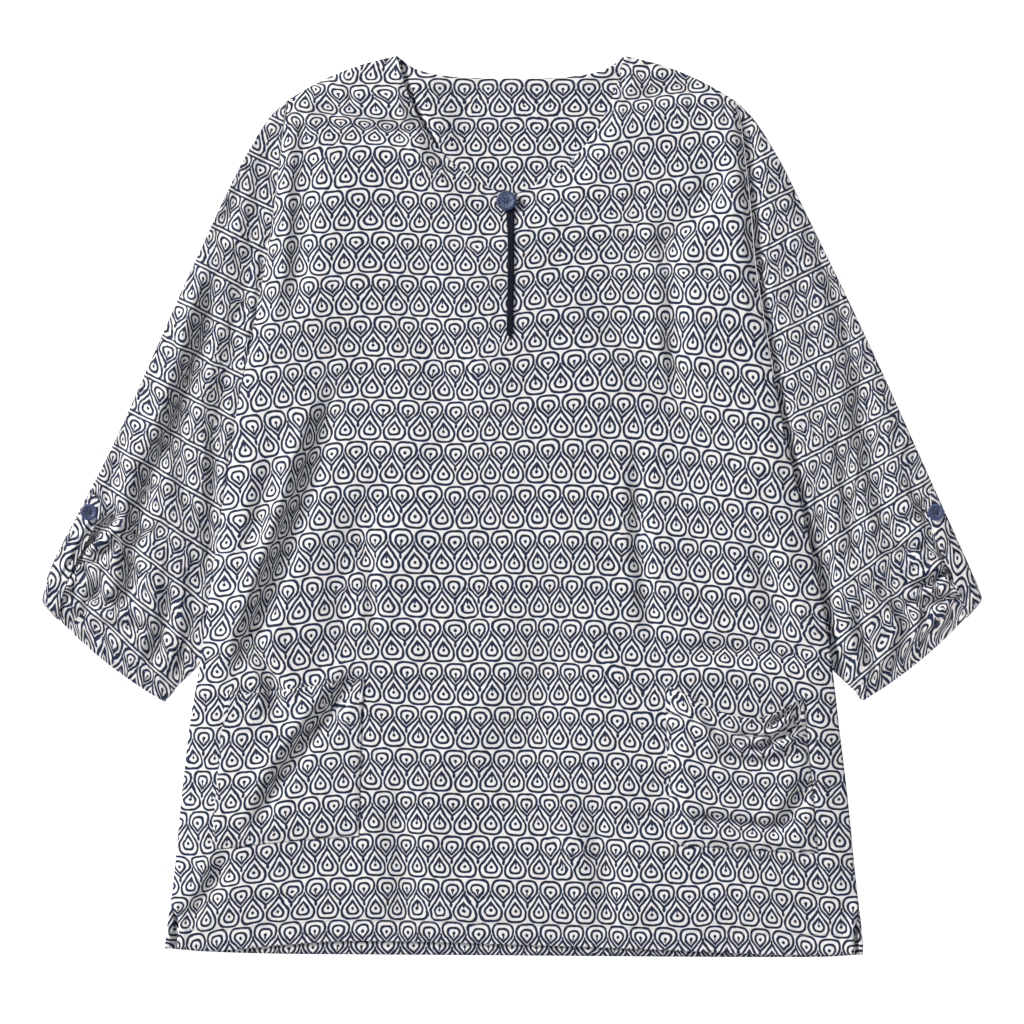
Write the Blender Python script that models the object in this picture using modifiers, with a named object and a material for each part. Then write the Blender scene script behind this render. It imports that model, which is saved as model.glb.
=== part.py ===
"""A tunic top of printed cloth, laid flat on its back.

X runs across the body, Y from the hem to the neck and Z up from the table that it lies on.
The back panel rests on the table, the front panel lies on it, and the sleeves run out beside
them with their inner edges tucked under the body's sides. Sizes are in millimetres, and every
point is turned into metres when its mesh is made.
"""
import math
from collections import namedtuple

import bmesh
import bpy
from mathutils import Vector

MM = 0.001

# Cloth, and how one piece lies on the next
WALL = 1.2              # thickness of one layer of cloth
LAYER_GAP = 0.5         # between two panels that lie on each other
SEAM_GAP = 0.4          # between pieces that are sewn edge to edge
SLEEVE_HOLLOW = 0.6     # between the two layers of a flattened sleeve
SLEEVE_HEIGHT = 2 * WALL + SLEEVE_HOLLOW
NOSE_RADIUS = SLEEVE_HEIGHT / 2
NOSE_STEPS = 3          # facets on each folded edge of a sleeve

# Body
NECK_POINT_HEIGHT = 392.4     # where the shoulder seam meets the neck
SHOULDER_BOW = 5.5            # how far the shoulder line bulges over a straight one
NECK_CENTRE = -1.0
NECK_SHARE = 0.457            # share of the half width that the neck's columns take
SHOULDER_TIP = 353.5
UNDERARM = 110.0
VENT_TOP = -346.0
VENT_INSET = 7.0              # how far the front's corner draws in from the back's
SLIT_LENGTH = 121.0
SLIT_HALF = 2.4
SLIT_FLARE = 1.3              # more at the top, under the button
PANEL_PUFF = 1.6              # the front panel's loft over the back, away from its edges

# The body's edge passes over the sleeve's tucked edge
TUCK_LIFT = SLEEVE_HEIGHT + 0.4
TUCK_FLAT = 30.0
TUCK_RAMP = 105.0
LIFT_FULL = 128.0             # full lift from here down to the sleeve's lower corner
LIFT_END = -152.0
LIFT_GONE = -225.0

# Sleeves
CUFF_BOW = 6.0
SLEEVE_PUFF = 1.0
TAB_WIDTH = 19.0
TAB_START = 0.785             # along the sleeve, the tab's upper end
TAB_LIP = 1.6                 # how far it passes the cuff's edge
TAB_BEND = 1.45               # where it turns down there
TAB_GAP = 0.4

# Pockets: edges as shares of the half width and of the panel's length. The mouth's middle
# hangs sag towards the hem and stands puff off the panel
POCKET_INNER = NECK_SHARE
POCKET_OUTER = 0.894
POCKET_TOP = 0.7045
POCKET_BOTTOM = 0.883
POCKET_GAP = 0.45
POCKET_MOUTHS = {"left": {"sag": 2.0, "puff": 1.0}, "right": {"sag": 6.0, "puff": 2.6}}

# Steps of the cloth grids, as bands of (from, to, count) on a half or down a length
FRONT_COLUMNS = ((0.0, NECK_SHARE, 9), (NECK_SHARE, POCKET_OUTER, 7), (POCKET_OUTER, 1.0, 3))
BACK_COLUMNS = ((0.0, NECK_SHARE, 6), (NECK_SHARE, 0.8, 3), (0.8, 1.0, 3))
BACK_ROWS = ((0.0, 1.0, 26),)
SLIT_ROWS = ((0.0, 0.96, 6), (0.96, 1.0, 1))
SKIRT_ROWS = 16               # from the slit's end to the pockets' mouths
POCKET_ROWS = 6
HEM_ROWS = 5
SLEEVE_COLUMNS = ((0.0, 0.14, 2), (0.14, 1.0, 8))
SLEEVE_RINGS_DOWN = ((0.0, 0.215, 4), (0.215, TAB_START, 7), (TAB_START, 1.0, 4))
TAB_ROWS = (0.0, 0.25, 0.5, 0.75, 1.0)

# Slit binding, buttons and loop
BINDING_PROUD = 0.3
BINDING_PART = 0.35           # half the gap between its two legs
BINDING_FOOT = 2.2            # its foot ends this far above the slit's end
BINDING_FOOT_HALF = 0.5
BUTTON_STEPS = 28
NECK_BUTTON = {"radius": 8.7, "thickness": 2.8, "x": -5.0, "y": 266.0}
SLEEVE_BUTTON = {"radius": 7.2, "thickness": 2.6, "on_tab": (0.42, 0.14)}
SHANK_RADIUS = 2.2
SHANK_HEIGHT = 1.9
LOOP_CORD = 1.3
LOOP_POINTS = 20
LOOP_REACH = 9.5              # how far it is drawn out towards the slit's other side
LOOP_FALL = 0.2
LOOP_SLACK = 0.4
BUTTON_GAP = 0.35

# Plain colours and roughness of the finishes
CLOTH = (0.42, 0.44, 0.50)
BINDING = (0.02, 0.022, 0.035)
BUTTON = (0.06, 0.09, 0.22)
CLOTH_ROUGHNESS = 0.85
BUTTON_ROUGHNESS = 0.45

EdgeRow = namedtuple("EdgeRow", "y left right")
BODY_EDGES = [
    EdgeRow(353.5, -195.8, 194.2),
    EdgeRow(330.0, -199.0, 199.5),
    EdgeRow(259.0, -207.0, 207.5),
    EdgeRow(208.0, -215.0, 212.0),
    EdgeRow(144.0, -227.5, 222.5),
    EdgeRow(88.0, -238.5, 232.3),
    EdgeRow(5.0, -251.6, 250.6),
    EdgeRow(-81.0, -263.5, 269.7),
    EdgeRow(-139.0, -271.8, 278.4),
    EdgeRow(-186.0, -280.1, 284.0),
    EdgeRow(-255.0, -288.0, 292.3),
    EdgeRow(-325.0, -294.8, 299.3),
    EdgeRow(-377.0, -301.6, 305.2),
    EdgeRow(-393.0, -302.5, 305.6),
]

NeckRow = namedtuple("NeckRow", "run half depth")
FRONT_NECK = [
    NeckRow(0.00, 98.9, 0.0),
    NeckRow(0.16, 92.0, 26.0),
    NeckRow(0.27, 85.5, 43.0),
    NeckRow(0.41, 75.0, 63.0),
    NeckRow(0.58, 58.7, 85.0),
    NeckRow(0.71, 42.0, 99.5),
    NeckRow(0.84, 24.0, 111.5),
    NeckRow(0.94, 9.0, 118.8),
    NeckRow(1.00, 0.0, 120.8),
]
BACK_NECK = [
    NeckRow(0.00, 98.9, 0.0),
    NeckRow(0.12, 87.0, 9.0),
    NeckRow(0.27, 74.0, 14.2),
    NeckRow(0.50, 51.0, 18.0),
    NeckRow(0.75, 26.0, 19.4),
    NeckRow(1.00, 0.0, 19.6),
]

HemRow = namedtuple("HemRow", "share front back")
HEM = [
    HemRow(0.00, -384.6, -384.6),
    HemRow(0.06, -386.0, -387.6),
    HemRow(0.16, -381.0, -389.4),
    HemRow(0.26, -377.6, -390.0),
    HemRow(0.50, -380.8, -391.0),
    HemRow(0.72, -385.6, -392.0),
    HemRow(0.88, -389.6, -392.4),
    HemRow(0.95, -389.8, -392.0),
    HemRow(1.00, -389.0, -390.0),
]

RingRow = namedtuple("RingRow", "share outer_x outer_y inner_x inner_y")
SLEEVE_RINGS = {
    "left": [
        RingRow(0.000, -196.2, 353.5, -234.6, 110.0),
        RingRow(0.050, -212.0, 338.0, -236.6, 92.0),
        RingRow(0.134, -233.4, 303.0, -239.0, 66.0),
        RingRow(0.215, -251.0, 268.0, -241.2, 42.0),
        RingRow(0.374, -283.6, 197.0, -245.0, -4.0),
        RingRow(0.534, -314.6, 127.5, -249.0, -50.0),
        RingRow(0.691, -345.6, 57.9, -255.0, -94.0),
        RingRow(0.849, -381.0, -11.7, -271.6, -136.0),
        RingRow(0.950, -402.4, -55.0, -291.6, -157.0),
        RingRow(1.000, -409.0, -82.0, -302.4, -170.0),
    ],
    "right": [
        RingRow(0.000, 194.6, 353.5, 229.4, 110.0),
        RingRow(0.050, 211.0, 336.8, 230.4, 92.0),
        RingRow(0.134, 233.2, 301.5, 231.6, 68.0),
        RingRow(0.215, 250.6, 266.7, 232.8, 45.0),
        RingRow(0.374, 284.5, 197.1, 236.6, -1.5),
        RingRow(0.534, 317.6, 127.5, 243.4, -48.7),
        RingRow(0.691, 348.9, 57.9, 254.2, -94.5),
        RingRow(0.849, 380.2, -11.7, 274.2, -136.0),
        RingRow(0.950, 400.4, -57.0, 294.2, -157.0),
        RingRow(1.000, 409.0, -80.0, 305.0, -169.0),
    ],
}

# Troughs in the cloth, from one end to the other: bow is the bend of its line,
# reach its half width and depth how far it sinks under the loft around it
FoldRow = namedtuple("FoldRow", "x1 y1 x2 y2 bow reach depth")
BODY_FOLDS = [
    FoldRow(-160.0, 92.0, -239.0, -150.0, 6.0, 15.0, 4.2),
    FoldRow(-240.0, -118.0, -206.0, -176.0, 12.0, 12.0, 3.0),
    FoldRow(-138.0, -146.0, -222.0, -272.0, -6.0, 12.0, 3.4),
    FoldRow(-184.0, 322.0, -194.0, 170.0, 3.0, 13.0, 2.2),
    FoldRow(-176.0, 352.0, -76.0, 326.0, -8.0, 11.0, 3.0),
    FoldRow(92.0, 352.0, 168.0, 366.0, 4.0, 14.0, 2.4),
    FoldRow(132.0, 250.0, 142.0, 90.0, 3.0, 14.0, 1.6),
    FoldRow(108.0, 40.0, 120.0, -96.0, -4.0, 16.0, 1.4),
    FoldRow(-246.0, -300.0, -284.0, -352.0, 5.0, 12.0, 2.4),
    FoldRow(150.0, -132.0, 262.0, -140.0, 8.0, 14.0, 2.0),
    FoldRow(180.0, -268.0, 262.0, -236.0, -14.0, 13.0, 2.6),
    FoldRow(-92.0, 196.0, -60.0, 40.0, 10.0, 26.0, 1.0),
    FoldRow(30.0, -60.0, -10.0, -250.0, 12.0, 30.0, 1.0),
]
SLEEVE_FOLDS = {
    "left": [
        FoldRow(-268.0, 176.0, -338.0, -64.0, 5.0, 13.0, 3.4),
        FoldRow(-352.0, -14.0, -376.0, -40.0, 3.0, 8.0, 2.6),
        FoldRow(-330.0, -86.0, -398.0, -66.0, 5.0, 9.0, 3.2),
        FoldRow(-322.0, -52.0, -352.0, -92.0, 0.0, 9.0, 1.6),
    ],
    "right": [
        FoldRow(300.0, 120.0, 330.0, -40.0, -8.0, 14.0, 1.6),
        FoldRow(336.0, -20.0, 366.0, -12.0, 3.0, 9.0, 2.6),
        FoldRow(334.0, -82.0, 400.0, -72.0, -4.0, 9.0, 3.4),
        FoldRow(316.0, -70.0, 352.0, -104.0, 0.0, 9.0, 1.6),
    ],
}


def smooth(start, end, value):
    """Ease from 0 at start to 1 at end."""
    share = min(1.0, max(0.0, (value - start) / (end - start)))
    return share * share * (3 - 2 * share)


def read_table(rows, key, column, value):
    """Read a smooth curve through a table's rows, where key rises or falls from row to row."""
    keys = [getattr(row, key) for row in rows]
    points = [getattr(row, column) for row in rows]
    if keys[0] > keys[-1]:
        keys.reverse()
        points.reverse()
    value = min(keys[-1], max(keys[0], value))
    last = len(keys) - 1
    index = max(i for i in range(last) if keys[i] <= value)

    def slope(at):
        low, high = max(0, at - 1), min(last, at + 1)
        return (points[high] - points[low]) / (keys[high] - keys[low])

    span = keys[index + 1] - keys[index]
    t = (value - keys[index]) / span
    start, end = points[index], points[index + 1]
    ease = t * t * (3 - 2 * t)
    pull_start = t * (1 - t) ** 2 * slope(index) * span
    pull_end = t * t * (1 - t) * slope(index + 1) * span
    return start + (end - start) * ease + pull_start - pull_end


def fill_between(top, bottom, left, right):
    """Make the point function of a patch between four boundary curves."""
    def point(across, down):
        between_ends = top(across).lerp(bottom(across), down)
        between_sides = left(down).lerp(right(down), across)
        corners = top(0).lerp(top(1), across).lerp(bottom(0).lerp(bottom(1), across), down)
        return between_ends + between_sides - corners
    return point


def bowed(start, end, bow, share):
    """A point on the line from start to end, pushed bow to its left at the middle."""
    run = end - start
    sideways = Vector((-run.y, run.x)).normalized()
    return start.lerp(end, share) + sideways * bow * 4 * share * (1 - share)


# ---- heights ----

def trough(fold, x, y):
    """How far a fold moves the cloth: down along its line, and a little up on both sides."""
    run_x, run_y = fold.x2 - fold.x1, fold.y2 - fold.y1
    length = math.hypot(run_x, run_y)
    along = ((x - fold.x1) * run_x + (y - fold.y1) * run_y) / length ** 2
    aside = ((y - fold.y1) * run_x - (x - fold.x1) * run_y) / length
    middle = max(0.0, min(1.0, along))
    aside -= fold.bow * 4 * middle * (1 - middle)
    ends = smooth(-0.12, 0.22, along) * smooth(1.12, 0.78, along)
    wave = (aside / fold.reach) ** 2
    return -fold.depth * (1 - wave) * math.exp(-wave / 2) * ends


def loft(folds, puff, x, y):
    return max(0.0, puff + sum(trough(fold, x, y) for fold in folds))


def edge_x(side, y):
    return read_table(BODY_EDGES, "y", side, y)


def tuck_lift(x, y):
    """How high the body's underside rises near its sides to pass over the sleeves."""
    inside = min(x - edge_x("left", y), edge_x("right", y) - x)
    along = smooth(SHOULDER_TIP, LIFT_FULL, y) * smooth(LIFT_GONE, LIFT_END, y)
    return TUCK_LIFT * along * smooth(TUCK_RAMP, TUCK_FLAT, inside)


# ---- body panels ----

def neck_curve(rows):
    """The panel's top edge: left shoulder, neckline, right shoulder, as across goes 0 to 1."""
    def point(across):
        side = -1 if across < 0.5 else 1
        share = abs(2 * across - 1)
        if share <= NECK_SHARE:
            run = 1 - share / NECK_SHARE
            half = read_table(rows, "run", "half", run)
            depth = read_table(rows, "run", "depth", run)
            return Vector((NECK_CENTRE + side * half, NECK_POINT_HEIGHT - depth))
        tip = Vector((edge_x("left" if side < 0 else "right", SHOULDER_TIP), SHOULDER_TIP))
        neck = Vector((NECK_CENTRE + side * rows[0].half, NECK_POINT_HEIGHT))
        out = (share - NECK_SHARE) / (1 - NECK_SHARE)
        return bowed(neck, tip, side * SHOULDER_BOW, out)
    return point


def panel_patch(neck_rows, hem_column, corner_inset):
    """Point function of a body panel: across runs left to right, down runs neck to hem."""
    def hem(across):
        y = read_table(HEM, "share", hem_column, across)
        left = edge_x("left", y) + corner_inset
        right = edge_x("right", y) - corner_inset
        return Vector((left + (right - left) * across, y))

    def side_curve(side, end_share, sign):
        bottom = hem(end_share).y

        def point(down):
            y = SHOULDER_TIP + (bottom - SHOULDER_TIP) * down
            inset = corner_inset * smooth(VENT_TOP, bottom, y)
            return Vector((edge_x(side, y) - sign * inset, y))
        return point

    return fill_between(neck_curve(neck_rows), hem,
                        side_curve("left", 0, -1), side_curve("right", 1, 1))


front_patch = panel_patch(FRONT_NECK, "front", VENT_INSET)
back_patch = panel_patch(BACK_NECK, "back", 0.0)


def back_point(across, down):
    spot = back_patch(across, down)
    return Vector((spot.x, spot.y, tuck_lift(spot.x, spot.y)))


def front_point(across, down):
    """Underside of the front panel."""
    spot = front_patch(across, down)
    from_edge = smooth(0.0, 0.16, 1 - abs(2 * across - 1)) * smooth(0.0, 0.06, down)
    from_edge *= smooth(0.0, 0.05, 1 - down)
    height = tuck_lift(spot.x, spot.y) + WALL + LAYER_GAP
    height += loft(BODY_FOLDS, PANEL_PUFF, spot.x, spot.y) * from_edge
    return Vector((spot.x, spot.y, height))


def marks(*bands):
    """Even steps over bands of (from, to, count), with each band's end shared by the next."""
    found = [bands[0][0]]
    for start, end, count in bands:
        found += [start + (end - start) * step / count for step in range(1, count + 1)]
    return found


def both_sides(half_marks):
    """Shares across a panel from marks on its half, 0 at the centre and 1 at the side."""
    outward = [0.5 + mark / 2 for mark in half_marks]
    return [1 - share for share in reversed(outward[1:])] + outward


# ---- mesh makers ----

collection = bpy.data.collections.new("tunic_top")


def paint(thing, colour, roughness):
    material = bpy.data.materials.new(thing.name + "_finish")
    material.use_nodes = True
    shader = material.node_tree.nodes["Principled BSDF"]
    shader.inputs["Base Color"].default_value = (*colour, 1)
    shader.inputs["Roughness"].default_value = roughness
    shader.inputs["Metallic"].default_value = 0
    thing.data.materials.append(material)


def add_object(name, data, colour, roughness):
    thing = bpy.data.objects.new(name, data)
    collection.objects.link(thing)
    paint(thing, colour, roughness)
    return thing


def finish_mesh(name, shape, colour, roughness):
    data = bpy.data.meshes.new(name)
    shape.to_mesh(data)
    shape.free()
    data.shade_smooth()
    return add_object(name, data, colour, roughness)


def sheet(name, across_marks, down_marks, place, wall, colour, slit=None):
    """A layer of cloth: a grid laid out by place, which gives its underside, made wall thick.

    slit is (last row, half opening at a share of its length), for a cut down the middle column.
    """
    columns, rows = len(across_marks) - 1, len(down_marks) - 1
    shape = bmesh.new()
    bmesh.ops.create_grid(shape, x_segments=columns, y_segments=rows, size=1)
    column_of = {v: round((v.co.x + 1) / 2 * columns) for v in shape.verts}
    row_of = {v: round((1 - v.co.y) / 2 * rows) for v in shape.verts}
    opening = {}
    if slit:
        last_row, half_opening = slit
        middle = columns // 2
        cut = [e for e in shape.edges
               if all(column_of[v] == middle and row_of[v] <= last_row for v in e.verts)]
        place_of = {(round(v.co.x, 5), round(v.co.y, 5)): (column_of[v], row_of[v])
                    for v in shape.verts}
        bmesh.ops.split_edges(shape, edges=cut)
        for vert in shape.verts:
            column, row = place_of[(round(vert.co.x, 5), round(vert.co.y, 5))]
            column_of[vert], row_of[vert] = column, row
            if column == middle and row < last_row:
                faces = vert.link_faces
                side = sum(f.calc_center_median().x for f in faces) / len(faces)
                opening[vert] = math.copysign(half_opening(row / last_row), side)
    for vert in shape.verts:
        spot = place(across_marks[column_of[vert]], down_marks[row_of[vert]])
        spot.x += opening.get(vert, 0.0)
        vert.co = spot * MM
    thing = finish_mesh(name, shape, colour, CLOTH_ROUGHNESS)
    thicken = thing.modifiers.new("Wall", "SOLIDIFY")
    thicken.thickness = wall * MM
    thicken.offset = 1
    thicken.use_even_offset = True
    return thing


def tube(name, rings_outer, rings_inner, colour):
    """A cloth tube, open at both ends, from rings of points on its outer and inner faces."""
    shape = bmesh.new()
    skins = [[[shape.verts.new(point * MM) for point in ring] for ring in rings]
             for rings in (rings_outer, rings_inner)]
    around = len(rings_outer[0])
    for skin in skins:
        for ring, after in zip(skin, skin[1:]):
            for k in range(around):
                shape.faces.new((ring[k], ring[k - 1], after[k - 1], after[k]))
    outer, inner = skins
    for end in (0, -1):
        for k in range(around):
            shape.faces.new((outer[end][k], outer[end][k - 1], inner[end][k - 1], inner[end][k]))
    bmesh.ops.recalc_face_normals(shape, faces=shape.faces)
    return finish_mesh(name, shape, colour, CLOTH_ROUGHNESS)


def turned(name, profile, at, colour):
    """A round piece from a profile of (radius, height) that runs down its outer side."""
    shape = bmesh.new()
    line = [shape.verts.new(Vector((radius, 0, height)) * MM) for radius, height in profile]
    for start, end in zip(line, line[1:]):
        shape.edges.new((start, end))
    thing = finish_mesh(name, shape, colour, BUTTON_ROUGHNESS)
    thing.location = at * MM
    spin = thing.modifiers.new("Turn", "SCREW")
    spin.steps = spin.render_steps = BUTTON_STEPS
    spin.use_merge_vertices = True
    spin.merge_threshold = 0.00001
    spin.use_smooth_shade = True
    return thing


# ---- sleeves ----

def sleeve_patch(side):
    """Point function of a sleeve: across runs outer to inner edge, down armhole to cuff."""
    rows = SLEEVE_RINGS[side]
    sign = -1 if side == "left" else 1

    def armhole(across):
        y = SHOULDER_TIP + (UNDERARM - SHOULDER_TIP) * across
        return Vector((edge_x(side, y) + sign * SEAM_GAP, y))

    def outer(down):
        return Vector((read_table(rows, "share", "outer_x", down),
                       read_table(rows, "share", "outer_y", down)))

    def inner(down):
        return Vector((read_table(rows, "share", "inner_x", down),
                       read_table(rows, "share", "inner_y", down)))

    def cuff(across):
        return bowed(outer(1), inner(1), sign * CUFF_BOW, across)

    return fill_between(armhole, cuff, outer, inner)


def sleeve_height(side, across, down, spot):
    """Height of the sleeve's top face."""
    clear = smooth(0.15, 0.36, across) * smooth(0.86, 0.6, across)
    clear *= smooth(0.0, 0.2, down) * smooth(1.0, 0.9, down)
    return SLEEVE_HEIGHT + clear * loft(SLEEVE_FOLDS[side], SLEEVE_PUFF, spot.x, spot.y)


def sleeve_ring(side, patch, down, inset):
    """Points round a flattened sleeve, inset into its wall, from the outer fold's foot."""
    width = (patch(0, down) - patch(1, down)).length
    radius = NOSE_RADIUS - inset
    edge = NOSE_RADIUS / width
    flat = [edge + (1 - 2 * edge) * share for share in marks(*SLEEVE_COLUMNS)]
    ring = []

    def nose(centre, turn):
        for step in range(1, NOSE_STEPS + 1):
            angle = math.pi * step / (NOSE_STEPS + 1)
            reach = turn * radius * math.sin(angle) / width
            spot = patch(centre + reach, down)
            height = NOSE_RADIUS + turn * radius * math.cos(angle)
            ring.append(Vector((spot.x, spot.y, height)))

    for across in flat:
        spot = patch(across, down)
        ring.append(Vector((spot.x, spot.y, sleeve_height(side, across, down, spot) - inset)))
    nose(flat[-1], 1)
    for across in reversed(flat):
        spot = patch(across, down)
        ring.append(Vector((spot.x, spot.y, inset)))
    nose(flat[0], -1)
    return ring


def make_sleeve(side):
    patch = sleeve_patch(side)
    outer, inner = [[sleeve_ring(side, patch, down, inset) for down in marks(*SLEEVE_RINGS_DOWN)]
                    for inset in (0.0, WALL)]
    tube("sleeve_" + side, outer, inner, CLOTH)


def tab_point(side):
    """Underside of a sleeve tab: it lies along the outer fold down to the cuff's edge, past
    down = 1, and there its lip turns over that edge."""
    patch = sleeve_patch(side)

    def point(across, down):
        reach = TAB_START + (1 - TAB_START) * min(down, 1.0)
        width = (patch(0, reach) - patch(1, reach)).length
        share = (NOSE_RADIUS + across * TAB_WIDTH) / width
        outward = (patch(share, 1.0) - patch(share, 0.9)).normalized()
        spot = patch(share, reach) + outward * TAB_LIP * max(0.0, down - 1.0)
        drop = (SLEEVE_HEIGHT - WALL) * smooth(TAB_BEND, 2.0, down)
        return Vector((spot.x, spot.y, SLEEVE_HEIGHT + TAB_GAP - drop))
    return point


# ---- build ----

def clear_scene():
    for thing in list(bpy.data.objects):
        bpy.data.objects.remove(thing)


def button_profile(radius, thickness, shank):
    """From the middle of the dished top, over the rim, down to the foot of the shank."""
    rim = radius * 0.72
    profile = [(0, thickness * 0.72), (rim * 0.8, thickness * 0.74), (rim, thickness),
               (radius * 0.9, thickness), (radius, thickness * 0.66),
               (radius, thickness * 0.34), (radius * 0.9, 0)]
    if shank:
        profile += [(SHANK_RADIUS, 0), (SHANK_RADIUS, -shank), (0, -shank)]
    else:
        profile += [(0, 0)]
    return profile


def make_panels(slit_share):
    slit_rows = marks(*SLIT_ROWS)
    down = [share * slit_share for share in slit_rows]
    down += marks((slit_share, POCKET_TOP, SKIRT_ROWS), (POCKET_TOP, POCKET_BOTTOM, POCKET_ROWS),
                  (POCKET_BOTTOM, 1.0, HEM_ROWS))[1:]
    sheet("front_panel", both_sides(marks(*FRONT_COLUMNS)), down, front_point, WALL, CLOTH,
          (len(slit_rows) - 1, slit_opening(0.0)))
    sheet("back_panel", both_sides(marks(*BACK_COLUMNS)), marks(*BACK_ROWS), back_point,
          WALL, CLOTH)


def slit_opening(inset):
    """Half the slit's width less inset, at a share of the rows down to its foot."""
    def half(share):
        return SLIT_HALF + SLIT_FLARE * (1 - smooth(0.0, 0.35, share)) - inset
    return half


def make_binding(slit_share):
    """Two legs in the slit, joined below into one strip's foot."""
    opening = slit_opening(SEAM_GAP)

    def place(across, down):
        spot = front_point(0.5, down * slit_share)
        half = opening(down)
        if down >= 1.0:
            spot.y += BINDING_FOOT
            half = BINDING_FOOT_HALF
        spot.x += (across - 0.5) * 2 * half
        return spot

    def parting(share):
        return BINDING_PART * (1 + 2.5 * (1 - smooth(0.0, 0.4, share)))

    rows = marks(*SLIT_ROWS)
    sheet("slit_binding", marks((0.0, 1.0, 4)), rows, place, WALL + BINDING_PROUD, BINDING,
          (len(rows) - 2, parting))


def make_pockets():
    """Patches made from the front panel's own points, moved out."""
    for side, sign in (("left", -1), ("right", 1)):
        columns = [0.5 + sign * share / 2 for share in marks(FRONT_COLUMNS[1])]
        if sign < 0:
            columns.reverse()
        mouth = POCKET_MOUTHS[side]

        def place(across, down):
            middle = (abs(2 * across - 1) - POCKET_INNER) / (POCKET_OUTER - POCKET_INNER)
            slack = 4 * middle * (1 - middle)
            slack *= ((POCKET_BOTTOM - down) / (POCKET_BOTTOM - POCKET_TOP)) ** 2
            spot = front_point(across, down)
            spot.y -= mouth["sag"] * slack
            spot.z += WALL + POCKET_GAP + mouth["puff"] * slack
            return spot

        sheet("pocket_" + side, columns, marks((POCKET_TOP, POCKET_BOTTOM, POCKET_ROWS)),
              place, WALL, CLOTH)


def make_buttons():
    front_top = front_point(0.5, 0.01).z + WALL + BINDING_PROUD
    size = NECK_BUTTON
    foot = front_top + BUTTON_GAP + SHANK_HEIGHT
    turned("neck_button", button_profile(size["radius"], size["thickness"], SHANK_HEIGHT),
           Vector((size["x"], size["y"], foot)), BUTTON)
    make_loop(front_top)
    for side in ("left", "right"):
        spot = tab_point(side)(*SLEEVE_BUTTON["on_tab"])
        spot.z += WALL + BUTTON_GAP
        turned("sleeve_button_" + side,
               button_profile(SLEEVE_BUTTON["radius"], SLEEVE_BUTTON["thickness"], 0),
               spot, BUTTON)


def make_loop(front_top):
    """A closed cord round the button's shank, drawn out over the slit's other side."""
    data = bpy.data.curves.new("button_loop", "CURVE")
    data.dimensions = "3D"
    data.bevel_depth = LOOP_CORD / 2 * MM
    data.bevel_resolution = 2
    line = data.splines.new("POLY")
    line.points.add(LOOP_POINTS - 1)
    line.use_cyclic_u = True
    round_shank = SHANK_RADIUS + LOOP_CORD / 2 + LOOP_SLACK
    for index, point in enumerate(line.points):
        turn = 2 * math.pi * index / LOOP_POINTS
        stretch = LOOP_REACH * max(0.0, math.cos(turn)) ** 1.5
        x = NECK_BUTTON["x"] + round_shank * math.cos(turn) + stretch
        y = NECK_BUTTON["y"] + round_shank * math.sin(turn) - stretch * LOOP_FALL
        z = front_top + BUTTON_GAP + LOOP_CORD / 2
        point.co = (x * MM, y * MM, z * MM, 1)
    add_object("button_loop", data, BINDING, CLOTH_ROUGHNESS)


def make_tabs():
    for side in ("left", "right"):
        across = [0.0, 0.5, 1.0]
        if side == "right":
            across.reverse()
        sheet("tab_" + side, across, TAB_ROWS + (TAB_BEND, 2.0), tab_point(side), WALL, CLOTH)


def build():
    clear_scene()
    bpy.context.scene.collection.children.link(collection)
    slit_share = SLIT_LENGTH / (NECK_POINT_HEIGHT - FRONT_NECK[-1].depth
                                - read_table(HEM, "share", "front", 0.5))
    make_panels(slit_share)
    make_binding(slit_share)
    make_pockets()
    for side in ("left", "right"):
        make_sleeve(side)
    make_tabs()
    make_buttons()


build()
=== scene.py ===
import math
from collections import namedtuple
from functools import partial, reduce

import bmesh
import bpy
import numpy as np
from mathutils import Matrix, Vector


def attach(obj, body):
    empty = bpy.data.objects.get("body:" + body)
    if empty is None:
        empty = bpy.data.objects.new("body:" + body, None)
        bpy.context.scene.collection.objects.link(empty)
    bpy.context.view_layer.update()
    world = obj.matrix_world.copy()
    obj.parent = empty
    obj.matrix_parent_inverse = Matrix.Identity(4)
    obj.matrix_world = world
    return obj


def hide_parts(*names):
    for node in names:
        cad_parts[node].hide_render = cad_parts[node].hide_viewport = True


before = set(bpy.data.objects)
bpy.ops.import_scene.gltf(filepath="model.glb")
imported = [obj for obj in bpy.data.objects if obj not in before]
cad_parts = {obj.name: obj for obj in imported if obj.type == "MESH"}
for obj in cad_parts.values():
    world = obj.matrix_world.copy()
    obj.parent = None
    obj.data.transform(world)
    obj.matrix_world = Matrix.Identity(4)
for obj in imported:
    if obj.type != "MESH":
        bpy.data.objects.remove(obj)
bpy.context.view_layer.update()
mm = 0.001     # the tables are in millimetres, the meshes in metres

# The view: straight down on the tunic as it lies on the table
camera = {"lens": 200, "height": 4.955, "y": -0.00479}

cameraData = bpy.data.cameras.new("viewCamera")
cameraData.lens = camera["lens"]
cameraData.sensor_width = 36
viewCamera = bpy.data.objects.new("viewCamera", cameraData)
viewCamera.location = (0, camera["y"], camera["height"])
bpy.context.scene.collection.objects.link(viewCamera)
bpy.context.scene.camera = viewCamera
print("camera ready")


# Curves through short tables, and patches between four of them.
# A place in plan is a complex number, x + y j, so that it can be mixed in one go.

def ease(start, end, value):
    share = np.clip((value - start) / (end - start), 0, 1)
    return share * share * (3 - 2 * share)


def cubic(t, span, ends, slopes):
    blend = t * t * (3 - 2 * t)
    pull = t * (1 - t) ** 2 * slopes[0] - t * t * (1 - t) * slopes[1]
    return ends[0] * (1 - blend) + ends[1] * blend + pull * span


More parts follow.
